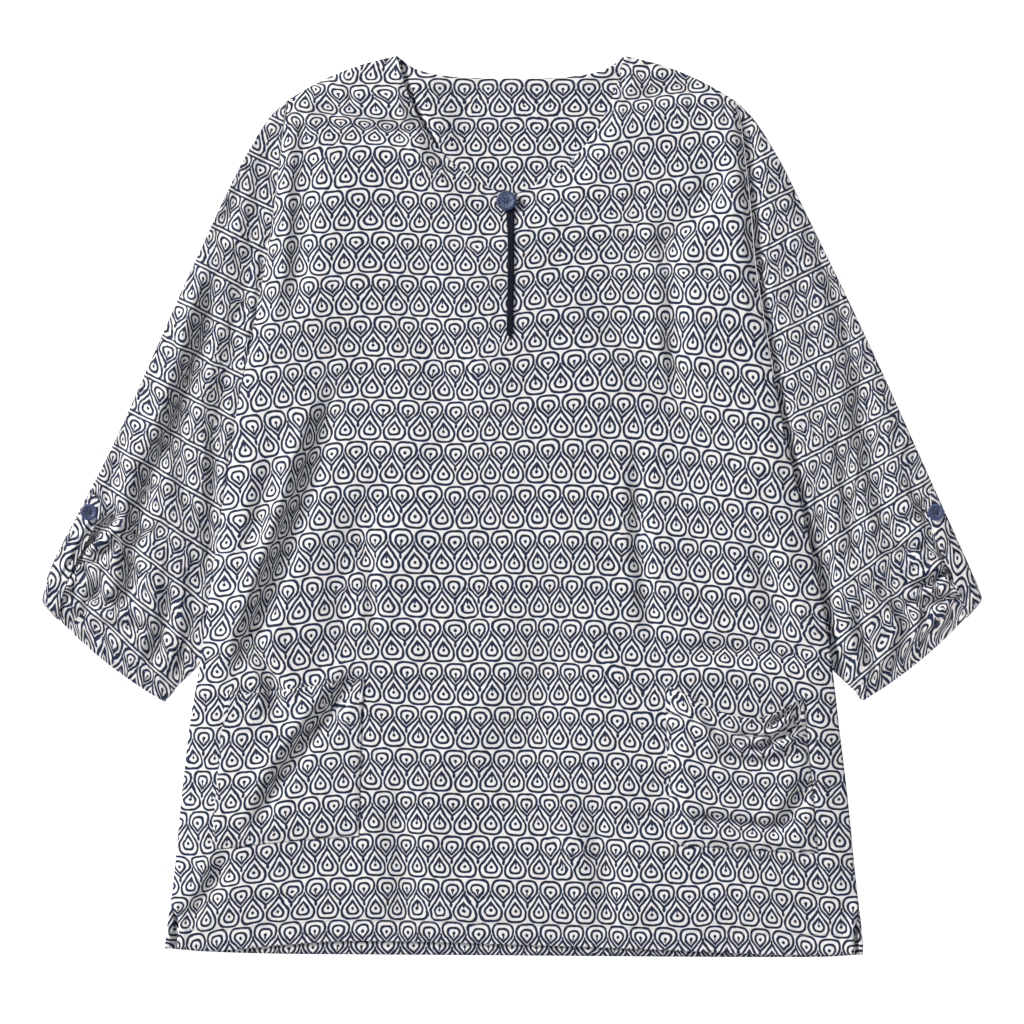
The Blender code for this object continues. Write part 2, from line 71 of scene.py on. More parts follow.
def readCurve(rows, key, column, value):
    keys, points = [np.array([getattr(row, name) for row in rows], float)
                    for name in (key, column)]
    if keys[0] > keys[-1]:
        keys, points = keys[::-1], points[::-1]
    before, after = [np.clip(np.arange(len(keys)) + step, 0, len(keys) - 1) for step in (-1, 1)]
    slopes = (points[after] - points[before]) / (keys[after] - keys[before])
    value = np.clip(value, keys[0], keys[-1])
    low = np.clip(np.searchsorted(keys, value, side="right") - 1, 0, len(keys) - 2)
    span = keys[low + 1] - keys[low]
    return cubic((value - keys[low]) / span, span, (points[low], points[low + 1]),
                 (slopes[low], slopes[low + 1]))


def fillBetween(top, bottom, left, right):
    def spot(across, down):
        ends = top(across) * (1 - down) + bottom(across) * down
        sides = left(down) * (1 - across) + right(down) * across
        corners = ((top(0) * (1 - across) + top(1) * across) * (1 - down)
                   + (bottom(0) * (1 - across) + bottom(1) * across) * down)
        return ends + sides - corners
    return spot


def bowed(start, end, bow, share):
    run = end - start
    return start + run * share + 1j * run / abs(run) * bow * 4 * share * (1 - share)


def markRun(*bands):
    # even steps over bands of (from, to, count)
    runs = [np.linspace(start, end, count + 1)[1:] for start, end, count in bands]
    return np.concatenate([[bands[0][0]]] + runs)


def bothSides(half):
    # shares across a panel from marks on its right half
    outward = 0.5 + half / 2
    return np.concatenate([1 - outward[:0:-1], outward])


# The cut: the body's sides, necklines and hems, and the sleeves' edges
neckShare = 0.457       # how much of a panel's half width the neck takes
pocketShare = 0.894     # and how far out a pocket reaches
neckTop = 392.4         # where the shoulder seams meet the neck
neckMiddle = -1         # the neck lies a little to the left
shoulderTip = 353.5     # where the shoulder seams meet the sleeves
shoulderBow = 5.5
wayOut = {"left": -1, "right": 1}
edgeRow = namedtuple("edgeRow", "y left right")
bodyEdges = [
    edgeRow(353.5, -195.8, 194.2),
    edgeRow(330, -199, 199.5),
    edgeRow(259, -207, 207.5),
    edgeRow(208, -215, 212),
    edgeRow(144, -227.5, 222.5),
    edgeRow(88, -238.5, 232.3),
    edgeRow(5, -251.6, 250.6),
    edgeRow(-81, -263.5, 269.7),
    edgeRow(-139, -271.8, 278.4),
    edgeRow(-186, -280.1, 284),
    edgeRow(-255, -288, 292.3),
    edgeRow(-325, -294.8, 299.3),
    edgeRow(-377, -301.6, 305.2),
    edgeRow(-393, -302.5, 305.6),
]
neckRow = namedtuple("neckRow", "run half depth")
frontNeck = [
    neckRow(0, 98.9, 0),
    neckRow(0.16, 92, 26),
    neckRow(0.27, 85.5, 43),
    neckRow(0.41, 75, 63),
    neckRow(0.58, 58.7, 85),
    neckRow(0.71, 42, 99.5),
    neckRow(0.84, 24, 111.5),
    neckRow(0.94, 9, 118.8),
    neckRow(1, 0, 120.8),
]
backNeck = [
    neckRow(0, 98.9, 0),
    neckRow(0.12, 87, 9),
    neckRow(0.27, 74, 14.2),
    neckRow(0.50, 51, 18),
    neckRow(0.75, 26, 19.4),
    neckRow(1, 0, 19.6),
]
hemRow = namedtuple("hemRow", "share front back")
hemLine = [
    hemRow(0, -384.6, -384.6),
    hemRow(0.06, -386, -387.6),
    hemRow(0.16, -381, -389.4),
    hemRow(0.26, -377.6, -390),
    hemRow(0.50, -380.8, -391),
    hemRow(0.72, -385.6, -392),
    hemRow(0.88, -389.6, -392.4),
    hemRow(0.95, -389.8, -392),
    hemRow(1, -389, -390),
]
ringRow = namedtuple("ringRow", "share outerX outerY innerX innerY")
sleeveRings = {
    "left": [
        ringRow(0, -196.2, 353.5, -234.6, 110),
        ringRow(0.050, -212, 338, -236.6, 92),
        ringRow(0.134, -233.4, 303, -239, 66),
        ringRow(0.215, -251, 268, -241.2, 42),
        ringRow(0.374, -283.6, 197, -245, -4),
        ringRow(0.534, -314.6, 127.5, -249, -50),
        ringRow(0.691, -345.6, 57.9, -255, -94),
        ringRow(0.849, -381, -11.7, -271.6, -136),
        ringRow(0.950, -402.4, -55, -291.6, -157),
        ringRow(1, -409, -82, -302.4, -170),
    ],
    "right": [
        ringRow(0, 194.6, 353.5, 229.4, 110),
        ringRow(0.050, 211, 336.8, 230.4, 92),
        ringRow(0.134, 233.2, 301.5, 231.6, 68),
        ringRow(0.215, 250.6, 266.7, 232.8, 45),
        ringRow(0.374, 284.5, 197.1, 236.6, -1.5),
        ringRow(0.534, 317.6, 127.5, 243.4, -48.7),
        ringRow(0.691, 348.9, 57.9, 254.2, -94.5),
        ringRow(0.849, 380.2, -11.7, 274.2, -136),
        ringRow(0.950, 400.4, -57, 294.2, -157),
        ringRow(1, 409, -80, 305, -169),
    ],
}

# How the layers lie: heights over the table
lay = {
    "cloth": 0.45,          # thickness of one layer
    "frontTop": 2.9,        # the front's outer face over the back, before its folds
    "backTop": 0.5,
    "tuckLift": 3.4,        # how far the body's sides rise over the sleeves
    "tuckFlat": 30,         # the rise is full this near the sides, and gone at tuckRamp
    "tuckRamp": 105,
    "liftFull": 128,        # it is full from here down to liftEnd, and gone at liftGone
    "liftEnd": -152,
    "liftGone": -225,
    "sleeve": 3,            # a flattened sleeve at its folded edges
    "seamGap": 0.4,
    "underarm": 110,
}


def edgeX(side, y):
    return readCurve(bodyEdges, "y", side, y)


def tuckLift(x, y):
    inside = np.minimum(x - edgeX("left", y), edgeX("right", y) - x)
    along = ease(shoulderTip, lay["liftFull"], y) * ease(lay["liftGone"], lay["liftEnd"], y)
    return lay["tuckLift"] * along * ease(lay["tuckRamp"], lay["tuckFlat"], inside)


# A crease runs from one end to the other with a bow in its line. It sinks depth under the
# cloth around it, half of that across reach, and lean lifts its left side to a ridge.
crease = namedtuple("crease", "x1 y1 x2 y2 bow reach depth lean")


def besideCrease(row, x, y):
    # the share of its length, the distance beside it in reaches, and its run
    run = complex(row.x2 - row.x1, row.y2 - row.y1)
    spot = (x - row.x1 + 1j * (y - row.y1)) / run
    middle = np.clip(spot.real, 0, 1)
    aside = (spot.imag * abs(run) - row.bow * 4 * middle * (1 - middle)) / row.reach
    return spot.real, aside, run


def creaseHeight(rows, x, y):
    height = np.zeros_like(x)
    for row in rows:
        along, aside = besideCrease(row, x, y)[:2]
        ends = ease(-0.14, 0.24, along) * ease(1.14, 0.76, along)
        bell = np.exp(-aside ** 2 / 2) * (1 - aside ** 2 * 0.6 + row.lean * aside)
        height -= row.depth * ends * bell
    return height


def creaseTuck(rows, x, y, share):
    # cloth that a crease swallows: the print on its two sides draws together over it
    shift = np.zeros_like(x) + 0j
    for row in rows:
        along, aside, run = besideCrease(row, x, y)
        ends = ease(-0.30, 0.30, along) * ease(1.30, 0.70, along)
        spread = 4 * row.reach + 12 + 50 * abs(run.imag) / abs(run)
        fade = np.exp(-(aside * row.reach / spread) ** 2)
        shift += 1j * run / abs(run) * row.depth * share * ends * np.tanh(aside * 1.3) * fade
    return shift


# Slow swells of the cloth between its creases: length of the wave, the way it runs, its height
swell = namedtuple("swell", "length angle shift height")
bodySwells = [
    swell(310, 18, 0.4, 0.55),
    swell(217, 97, 2.1, 0.45),
    swell(143, 152, 4, 0.40),
    swell(96, 64, 1.2, 0.28),
    swell(71, 128, 5.3, 0.20),
    swell(47, 33, 3, 0.12),
    swell(33, 83, 0.9, 0.07),
]


def swellHeight(rows, x, y):
    height = np.zeros_like(x)
    for row in rows:
        angle = math.radians(row.angle)
        along = x * math.cos(angle) + y * math.sin(angle)
        across = y * math.cos(angle) - x * math.sin(angle)
        bend = 0.9 * np.sin(2 * math.pi * across / (row.length * 2.7) + row.shift * 1.7)
        height += row.height * np.sin(2 * math.pi * along / row.length + row.shift + bend)
    return height


# The print follows the cloth's grain. The grain droops to the sides of the body, where it is
# cut on the flare: these are the drops of its rows, from far left to far right.
grainRow = namedtuple("grainRow", "y farLeft left nearLeft middle nearRight right farRight")
grainAt = [-254, -150, -45, 33, 111, 190, 268]
bodyGrain = [
    grainRow(375, 34, 30, 31, 20, 11, 4, 8),
    grainRow(342, 28, 22, 24.5, 15, 8.2, 0.5, 6),
    grainRow(308, 23, 16, 19.3, 14, 6.6, -2.6, 6),
    grainRow(258, 23, 13.4, 15.2, 9.5, 4, -3, 8),
    grainRow(180, 23, 10.4, 11.8, 3.8, -1, 3.2, 19),
    grainRow(101, 21, 7.8, 8.6, 3.2, 2.7, 11.7, 25),
    grainRow(23, 26.5, 8, 6.5, 4.9, 8.5, 16.4, 27),
    grainRow(-55, 25, 9.5, 8.6, 8.1, 11.4, 17.3, 30),
    grainRow(-134, 27, 9, 8.4, 8.3, 13, 18.7, 30.5),
    grainRow(-212, 26, 9.8, 8.6, 9.2, 12.7, 20, 27),
    grainRow(-290, 24, 8, 7.6, 9.3, 11.1, 17.7, 24),
    grainRow(-368, 19, 6.7, 7.4, 9.6, 11.1, 14.8, 22.4),
]


def grainDrop(x, y):
    columns = [readCurve(bodyGrain, "y", name, y) for name in grainRow._fields[1:]]
    last = len(grainAt) - 1
    slopes = [(columns[min(k + 1, last)] - columns[max(k - 1, 0)])
              / (grainAt[min(k + 1, last)] - grainAt[max(k - 1, 0)]) for k in range(last + 1)]
    place = np.clip(x, grainAt[0], grainAt[-1])
    drop = np.zeros_like(x)
    for k in range(last):
        span = grainAt[k + 1] - grainAt[k]
        t = (place - grainAt[k]) / span
        here = cubic(t, span, columns[k:k + 2], slopes[k:k + 2])
        drop = np.where((t >= 0) & (t <= 1), here, drop)
    return drop


def softFloor(height, low, blend):
    # the height, eased so that it never sinks past low
    return low + blend * np.logaddexp(0, (height - low) / blend)


def slackAlong(x, y, z, axis, start):
    # cloth taken up by folds, summed along the rows or columns from the start line
    step = np.sqrt(np.diff(x, axis=axis) ** 2 + np.diff(y, axis=axis) ** 2)
    rise = np.diff(z, axis=axis)
    extra = np.sqrt(step ** 2 + rise ** 2) - step
    total = np.concatenate([np.zeros_like(np.take(x, [0], axis=axis)),
                            np.cumsum(extra, axis=axis)], axis=axis)
    return total - np.take(total, [start], axis=axis)


# Body panels

def neckLine(rows):
    def spot(across):
        side = np.where(across < 0.5, -1, 1)
        share = np.abs(2 * across - 1)
        run = np.clip(1 - share / neckShare, 0, 1)
        inNeck = (neckMiddle + side * readCurve(rows, "run", "half", run)
                  + 1j * (neckTop - readCurve(rows, "run", "depth", run)))
        out = np.clip((share - neckShare) / (1 - neckShare), 0, 1)
        neckPoint = neckMiddle + side * rows[0].half + 1j * neckTop
        tip = np.where(side < 0, edgeX("left", shoulderTip), edgeX("right", shoulderTip))
        onShoulder = bowed(neckPoint, tip + 1j * shoulderTip, side * shoulderBow, out)
        return np.where(share <= neckShare, inNeck, onShoulder)
    return spot


def panelPatch(neckRows, hemColumn, corners):
    def hem(across):
        y = readCurve(hemLine, "share", hemColumn, across)
        left, right = edgeX("left", y) + corners[0], edgeX("right", y) - corners[1]
        return left + (right - left) * across + 1j * y

    def sideLine(side, corner):
        bottom = float(hem(np.float64(corner)).imag)

        def spot(down):
            y = shoulderTip + (bottom - shoulderTip) * down
            inset = corners[corner] * ease(ventTop[side], ventTop[side] - 30, y)
            return edgeX(side, y) - wayOut[side] * inset + 1j * y
        return spot

    return fillBetween(neckLine(neckRows), hem, sideLine("left", 0), sideLine("right", 1))


def neckEdge(patch, count):
    reach = neckShare / 2
    return patch(np.linspace(0.5 - reach, 0.5 + reach, count), 0)


ventTop = {"left": -340, "right": -346}
frontPatch = panelPatch(frontNeck, "front", (11, 7.5))
backPatch = panelPatch(backNeck, "back", (0, 0))

neckSlit = {"length": 121, "half": 2.4, "flare": 1.3, "rows": 40}
slitShare = neckSlit["length"] / (neckTop - frontNeck[-1].depth - hemLine[4].front)

frontPanel = {
    "halfWidth": 270, "length": 700,    # in round numbers, for distances from the edges
    "puff": 3.7,            # loft over the back, away from the edges
    "lowest": -1.1,         # where a crease meets the back
    "tuck": 0.8,            # cloth that a crease swallows, for its depth
    "seamDrop": {"left": 1.8, "right": 0.7},       # how far the side seams sink to the back
    "sideStand": {"left": 0.6, "right": 1.9},      # fullness just inside the sides
    "armStand": {"left": 0, "right": 3},           # fullness beside the armholes
    "neckStand": {"left": 4.4, "right": 0.7},      # how far the neck's sides stand up
    "neckDrop": 1.3,        # and the rest of its edge lies down on the back
    "hemStand": 1.2,        # how far the hem stands off the back
    "ventStand": 3,         # how far the vents' edges stand off the back
    "pucker": 0.5,          # small waves along the armholes and shoulders
    "hemTurn": 18,          # depth of the turned hem
    "hemRadius": 0.55,
    "columns": ((0, neckShare, 52), (neckShare, pocketShare, 34), (pocketShare, 1, 12)),
    "rows": ((0, 0.012, 8), (0.012, slitShare, neckSlit["rows"] - 8), (slitShare, 0.985, 184),
             (0.985, 1, 6)),
    "print": (509.8, 505.6),    # where the panel's middle lies on the printed cloth
    "creases": [
        crease(-162.7, 84, -236.6, -133.5, 2, 9, 11, 0.9),
        crease(-238, -116, -206, -176, 10, 8.5, 6.4, 0.4),
        crease(-140.9, -150, -221.2, -270.4, -6, 8, 6.6, 0.8),
        crease(-184.4, 322, -193, 170, 3, 10, 4.6, 0.7),
        crease(-176, 352, -78, 326, -8, 8, 6, -0.5),
        crease(85.3, 380, 98.3, 346, 0, 8, 3.4, 0.6),
        crease(98, 348, 164, 366, 4, 10, 4.6, -0.3),
        crease(132, 250, 142, 90, 3, 9, 3.4, 0.5),
        crease(108, 40, 122, -116, -4, 8, 3.4, 0.5),
        crease(-131, -24, -121, -118, 2, 6, 2.4, 0.5),
        crease(-250, -306, -292, -364, 4, 8, 4.4, 0.7),
        crease(146, -130, 262, -136, 5, 9, 4, 0.5),
        crease(160, -272, 230, -283, -2, 8, 4.4, 0.6),
        crease(224, -284, 254, -238, -4, 8, 4, -0.7),
        crease(-92, 196, -60, 40, 10, 22, 2, 0.4),
        crease(30, -60, -10, -250, 12, 26, 2, 0.4),
        crease(70, 170, 190, 60, -8, 16, 2.8, 0.4),
        crease(186, 300, 120, 210, 6, 12, 3.2, -0.4),
        crease(128, 206, 206, 186, 4, 5.5, 2.2, 0.4),
        crease(134, 156, 156, 92, -3, 6, 2.4, 0.5),
        crease(-120, 20, -150, -120, -6, 15, 2.6, 0.4),
        crease(60, -250, 82, -368, 5, 12, 2.6, 0.5),
        crease(-100, -250, -88, -368, -4, 14, 2.6, 0.5),
        crease(214, -30, 236, -112, 4, 10, 4, -0.6),
        crease(-210, 40, -232, -40, 3, 9, 3.4, 0.6),
        crease(-206, 252, -214, 176, 1, 7, 2.8, 0.5),
        crease(-146, 376, -139, 350, 1, 3.6, 3, 0.4),
        crease(-178, 371, -168, 364, 0, 3.6, 3.4, 0.3),
        crease(-192, 344, -180, 322, 1, 4, 2.8, 0.4),
        crease(104, 386, 122, 366, -2, 4, 3.2, 0.4),
        crease(146, 372, 158, 344, 2, 4.6, 2.8, 0.4),
        crease(180, 352, 188, 330, 1, 4, 2.8, 0.4),
    ],
}


def armholeWaves(y, away):
    # small waves of the cloth beside an armhole's seam
    return np.sin(y / 2.4 + 1.4 * np.sin(y / 17)) * ease(17, 4, away) * ease(96, 126, y)


def frontTop(x, y, across, down):
    # outer face of the front panel
    look = frontPanel
    share = np.abs(2 * across - 1)
    sideAway, topAway = (1 - share) * look["halfWidth"], down * look["length"]

    def bySide(pair):
        return np.where(across < 0.5, pair["left"], pair["right"])

    fromEdge = ease(0, 0.10, 1 - share) * ease(0, 0.05, down) * ease(0, 0.05, 1 - down)
    loft = look["puff"] + creaseHeight(look["creases"], x, y) + swellHeight(bodySwells, x, y)
    height = tuckLift(x, y) + lay["frontTop"] + softFloor(loft, look["lowest"], 0.7) * fromEdge
    height = height + bySide(look["sideStand"]) * ease(34, 9, sideAway) * ease(0, 0.05, down)
    atArm = ease(188, 216, y) * ease(354, 336, y) * ease(1, 12, sideAway) * ease(50, 26, sideAway)
    height = height + bySide(look["armStand"]) * atArm
    inNeck = ease(0.50, 0.42, share)
    stand = bySide(look["neckStand"]) * ease(0.17, 0.34, share) * ease(0.09, 0, down)
    drop = look["neckDrop"] * ease(0, 0.06, share) * ease(0.05, 0, down)
    height = height + inNeck * (stand - drop)
    height = height + look["hemStand"] * ease(0.975, 0.995, down) * ease(1, 0.96, share)
    atVent = ease(ventTop["left"] + 6, ventTop["left"] - 14, y) * ease(9, 2, sideAway)
    height = height + look["ventStand"] * atVent
    armhole = armholeWaves(y, sideAway)
    seam = np.sin(x / 2.5 + 1.4 * np.sin(x / 15)) * ease(17, 3, topAway) * ease(0.46, 0.50, share)
    waves = np.where(np.abs(armhole) > np.abs(seam), armhole, seam)
    height = height + look["pucker"] * waves * ease(0, 1.5, sideAway) * ease(0, 0.002, down)
    shoulder = look["seamDrop"]["left"] * ease(9, 0, topAway) * ease(0.44, 0.50, share)
    seamDrop = np.maximum(bySide(look["seamDrop"]) * ease(6, 0, sideAway), shoulder)
    return height - seamDrop - 0.5 * ease(2, 0, topAway)


def clothPiece(name, spots, clothMap, seamMap, thickness, material, slit=None, jump=None,
               flip=False, join=False):
    # A grid laid on the spots, row by row, with its cloth and seam maps, made thickness thick.
    # slit is (last row, half opening at a share of its length) for a cut in the middle column,
    # and jump moves the print on the cut's right side.
    x, y, z = spots
    rowCount, columnCount = x.shape
    shape = bmesh.new()
    bmesh.ops.create_grid(shape, x_segments=columnCount - 1, y_segments=rowCount - 1, size=1)

    def placeOf(vert):
        return (round((1 - vert.co.y) / 2 * (rowCount - 1)),
                round((vert.co.x + 1) / 2 * (columnCount - 1)))

    middle = columnCount // 2
    if slit:
        lastRow, halfOpening = slit
        inSlit = {v for v in shape.verts
                  if placeOf(v)[1] == middle and placeOf(v)[0] <= lastRow}
        cut = [e for e in shape.edges if e.verts[0] in inSlit and e.verts[1] in inSlit]
        bmesh.ops.split_edges(shape, edges=cut)
    places = {vert: placeOf(vert) for vert in shape.verts}
    opening = {}
    if slit:
        for vert, (row, column) in places.items():
            if column == middle and row < lastRow:
                side = sum(f.calc_center_median().x for f in vert.link_faces)
                opening[vert] = math.copysign(halfOpening(row / lastRow), side)
    seamAlong, seamAway = seamMap
    maps = [(shape.loops.layers.uv.new("cloth"), clothMap),
            (shape.loops.layers.uv.new("seams"), (seamAlong, 500 + np.clip(seamAway, -400, 400)))]
    for layer, (u, v) in maps:
        for face in shape.faces:
            moved = jump is not None and face.calc_center_median().x > 0
            for loop in face.loops:
                row, column = places[loop.vert]
                extra = jump[row, column] if moved else 0
                loop[layer].uv = (u[row, column] * mm, (v[row, column] + extra) * mm)
    for vert, (row, column) in places.items():
        spot = Vector((x[row, column] + opening.get(vert, 0), y[row, column], z[row, column]))
        vert.co = spot * mm
    if flip:
        bmesh.ops.reverse_faces(shape, faces=shape.faces)
    if join:
        bmesh.ops.remove_doubles(shape, verts=shape.verts, dist=0.00001)
    piece = pieceFrom(name, shape, material)
    wall = piece.modifiers.new("Thickness", "SOLIDIFY")
    wall.thickness = thickness * mm
    wall.offset = -1
    return piece


def placed(name, data, material):
    data.materials.append(material)
    piece = bpy.data.objects.new(name, data)
    tunic.objects.link(piece)
    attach(piece, "root")
    return piece


def pieceFrom(name, shape, material):
    data = bpy.data.meshes.new(name)
    shape.to_mesh(data)
    shape.free()
    data.shade_smooth()
    return placed(name, data, material)


tunic = bpy.data.collections.new("tunicTop")
bpy.context.scene.collection.children.link(tunic)


# Materials. Groups put out masks and heights, and each material mixes its own colours.

def setInputs(node, values):
    # a plain value is set, and another node's output is linked
    for label, value in values.items():
        socket = node.inputs[label]
        if isinstance(value, bpy.types.NodeSocket):
            node.id_data.links.new(value, socket)
        else:
            socket.default_value = (*value, 1) if socket.type == "RGBA" else value


def newNode(kind, values, tree=None, **options):
    # without a tree given, the node goes where the first output among its values is
    if tree is None:
        tree = [v for v in values.values() if isinstance(v, bpy.types.NodeSocket)][0].id_data
    node = tree.nodes.new("ShaderNode" + kind)
    for option, choice in options.items():
        setattr(node, option, choice)
    setInputs(node, values)
    return node.outputs


def newGroup(name, inputs, outputs):
    # an input with no value is a place on a map, and the rest are numbers
    group = bpy.data.node_groups.new(name, "ShaderNodeTree")
    for label, value in inputs.items():
        kind = "NodeSocketVector" if value is None else "NodeSocketFloat"
        socket = group.interface.new_socket(label, in_out="INPUT", socket_type=kind)
        if value is not None:
            socket.default_value = value
    for label in outputs:
        group.interface.new_socket(label, in_out="OUTPUT", socket_type="NodeSocketFloat")
    return group, group.nodes.new("NodeGroupInput").outputs, group.nodes.new("NodeGroupOutput")


def addGroup(group, **values):
    return newNode("Group", values, node_tree=group)


def maths(operation, *values):
    return newNode("Math", dict(enumerate(values)), operation=operation)[0]


add, less, times, timesPlus = [partial(maths, name) for name in
                               ("ADD", "SUBTRACT", "MULTIPLY", "MULTIPLY_ADD")]
divide, remainder, root = [partial(maths, name) for name in ("DIVIDE", "FLOORED_MODULO", "SQRT")]
absolute, smallest, largest = [partial(maths, name) for name in
                               ("ABSOLUTE", "MINIMUM", "MAXIMUM")]


def lengthOf(x, y):
    return root(timesPlus(x, x, times(y, y)))


def steps(value, start, end):
    # eased from 0 at start to 1 at end
    return newNode("MapRange", {"Value": value, "From Min": start, "From Max": end},
                   interpolation_type="SMOOTHSTEP")["Result"]


def noiseAt(vector, scale, detail, output="Fac"):
    return newNode("TexNoise", {"Vector": vector, "Scale": scale, "Detail": detail})[output]


def splitVector(vector):
    return newNode("SeparateXYZ", {0: vector})


def mapOf(tree, name):
    return newNode("UVMap", {}, tree, uv_map=name)["UV"]


def objectPlace(tree):
    return newNode("TexCoord", {}, tree)["Object"]


def mixColour(share, first, second, blend="MIX"):
    return newNode("Mix", {0: share, 6: first, 7: second}, data_type="RGBA", blend_type=blend)[2]


def bumped(height, distance, **normal):
    return newNode("Bump", {"Strength": 1, "Distance": distance * mm, "Height": height,
                            **normal})["Normal"]


def newMaterial(name):
    material = bpy.data.materials.new(name)
    material.use_nodes = True
    return material, material.node_tree, material.node_tree.nodes["Principled BSDF"]


# A common repeat of nested teardrops: a row of drops with their points down, and between
# them a row with their points up. Sizes in millimetres on the cloth.
teardrops = {
    "pitch": 20.45, "row": 37.85, "line": 2.12, "ruleAt": 1.75, "ruleWidth": 1.85,
    "broadSway": 3.1, "pulled": (1.5, 1), "pulledEdge": (0.57, 0.70), "fineSway": 1.3,
    "downOuter": {"centre": 7.7, "radius": 8.8, "flat": 6.8, "tip": 13.1, "round": 4.4},
    "downInner": {"centre": 9.5, "radius": 4.8, "flat": 4.2, "tip": 7.3, "round": 2.6},
    "upOuter": {"centre": 30, "radius": 8.8, "flat": 6.9, "tip": 16.4, "round": 3.8},
    "upInner": {"centre": 28.7, "radius": 4.6, "flat": 3.9, "tip": 8.1, "round": 2.2},
    "downDot": {"at": 10.4, "radius": 1.35, "tall": 1.15},
    "upDot": {"at": 27.5, "radius": 1.3, "tall": 1.15},
    "bud": {"at": 22.9, "radius": 1.3, "tall": 1.9},
    "spike": {"at": 12.8, "radius": 0.9, "tall": 2.8},
    "tail": {"at": 23.6, "radius": 0.75, "tall": 3},
    "hook": {"at": 12.6, "radius": 0.7, "tall": 2.6},
    "farOff": 20,           # too far off a line to show
}


def teardropGroup():
    look = teardrops
    group, given, result = newGroup(
        "teardropPrint", {"Cloth": None, "Across": 1, "Along": 0.6, "Rule": 0}, ["Ink", "Tint"])
    cloth = given["Cloth"]
    broad = splitVector(noiseAt(cloth, 46, 1, "Color"))
    fine = splitVector(noiseAt(cloth, 150, 1, "Color"))
    parts = splitVector(cloth)
    pulled = steps(noiseAt(cloth, 15, 1), *look["pulledEdge"])

    def swayed(axis, amount):
        # millimetres on the cloth, moved about a little, and more in a few pulled patches
        sway = timesPlus(broad[axis], look["broadSway"], times(fine[axis], look["fineSway"]))
        sway = less(sway, (look["broadSway"] + look["fineSway"]) / 2)
        amount = timesPlus(pulled, look["pulled"][axis], amount)
        return timesPlus(parts[axis], 1000, times(sway, amount))

    across = swayed(0, given["Across"])
    fromTop = less(look["row"], remainder(swayed(1, given["Along"]), look["row"]))

    def column(shift):
        # distance to the middle of the nearest drop in the row
        return absolute(less(remainder(add(across, shift), look["pitch"]), look["pitch"] / 2))

    def outline(x, part, sign):
        # t runs from the drop's round end to its point, and its straight sides touch a circle
        t = times(less(fromTop, part["centre"]), sign)
        lean = math.asin(part["radius"] / part["tip"])
        toCircle = less(lengthOf(x, t), part["radius"])
        toSide = timesPlus(x, math.cos(lean), timesPlus(t, math.sin(lean), -part["radius"]))
        pastTouch = timesPlus(t, math.cos(lean), times(x, -math.sin(lean)))
        away = timesPlus(less(toSide, toCircle), maths("GREATER_THAN", pastTouch, 0), toCircle)
        away = maths("SMOOTH_MAX", away, less(times(t, -1), part["flat"]), part["round"])
        return less(absolute(away), look["line"] / 2)

    def spot(x, part):
        return less(lengthOf(x, divide(less(fromTop, part["at"]), part["tall"])), part["radius"])

    down, up = column(0), column(look["pitch"] / 2)
    shapes = [outline(down, look["downOuter"], 1), outline(down, look["downInner"], 1),
              outline(up, look["upOuter"], -1), outline(up, look["upInner"], -1),
              spot(down, look["downDot"]), spot(up, look["upDot"]),
              spot(down, look["bud"]), spot(up, look["spike"])]
    # in some drops the dot has a tail: the rest are pushed too far off to show
    chance, far = noiseAt(cloth, 52, 0), look["farOff"]
    for sign, tail in ((-1, spot(up, look["tail"])), (1, spot(down, look["hook"]))):
        push = timesPlus(chance, sign * far, -sign * far / 2)
        shapes.append(add(largest(push, 0), tail))
    nearest = reduce(smallest, shapes)
    # where Rule is 1 the flat ends join into two lines along each row's edge
    fromEdge = smallest(fromTop, less(look["row"], fromTop))
    off = timesPlus(given["Rule"], -far, far)
    clear = less(look["ruleAt"] - look["ruleWidth"] / 2, fromEdge)
    rule = less(absolute(less(fromEdge, look["ruleAt"])), look["ruleWidth"] / 2)
    nearest = smallest(largest(nearest, less(clear, off)), add(rule, off))
    uneven = timesPlus(noiseAt(cloth, 240, 2), 0.8, -0.4)
    setInputs(result, {"Ink": steps(add(nearest, uneven), 0.2, -0.2),
                       "Tint": steps(noiseAt(cloth, 85, 1), 0.42, 0.66)})
    return group


def weaveGroup():
    # plain weave: warp and weft cross over in turn
    group, given, result = newGroup("plainWeave", {"Cloth": None, "Thread": 0.42},
                                    ["Height", "Shade"])
    parts = splitVector(given["Cloth"])
    scale = divide(1000 * math.pi, given["Thread"])
    warp, weft = [maths("SINE", times(part, scale)) for part in (parts[0], parts[1])]
    crossing = timesPlus(times(warp, weft), 0.5, 0.5)
    slub = noiseAt(given["Cloth"], 700, 3)
    # Shade follows the threads' height, as the mask for painted shade and highlight on the weave
    setInputs(result, {"Height": timesPlus(slub, 0.6, times(crossing, 0.7)),
                       "Shade": timesPlus(crossing, 0.5, times(slub, 0.5))})
    return group


def stitchGroup():
    # one row of stitches along the seam map's zero line
    group, given, result = newGroup("stitchRow", {"Seams": None, "Stitch": 2.6, "Width": 0.5},
                                    ["Thread", "Height"])
    parts = splitVector(given["Seams"])
    away = absolute(timesPlus(parts[1], 1000, -500))
    share = divide(remainder(times(parts[0], 1000), given["Stitch"]), given["Stitch"])
    inStitch = steps(absolute(less(share, 0.5)), 0.40, 0.34)
    thread = times(inStitch, steps(divide(away, given["Width"]), 0.62, 0.38))
    pucker = timesPlus(noiseAt(given["Seams"], 210, 2), 0.5, 0.6)
    groove = times(steps(away, 2.4, 0.3), pucker)
    setInputs(result, {"Thread": thread, "Height": less(times(thread, 0.5), groove)})
    return group


def creaseGroup():
    # fine wrinkles, too small for the mesh
    group, given, result = newGroup("fineCreases", {"Cloth": None}, ["Height"])
    cloth = given["Cloth"]
    fold = absolute(less(noiseAt(cloth, 34, 2), 0.5))
    setInputs(result, {"Height": timesPlus(steps(fold, 0, 0.16), 0.25, noiseAt(cloth, 17, 3))})
    return group


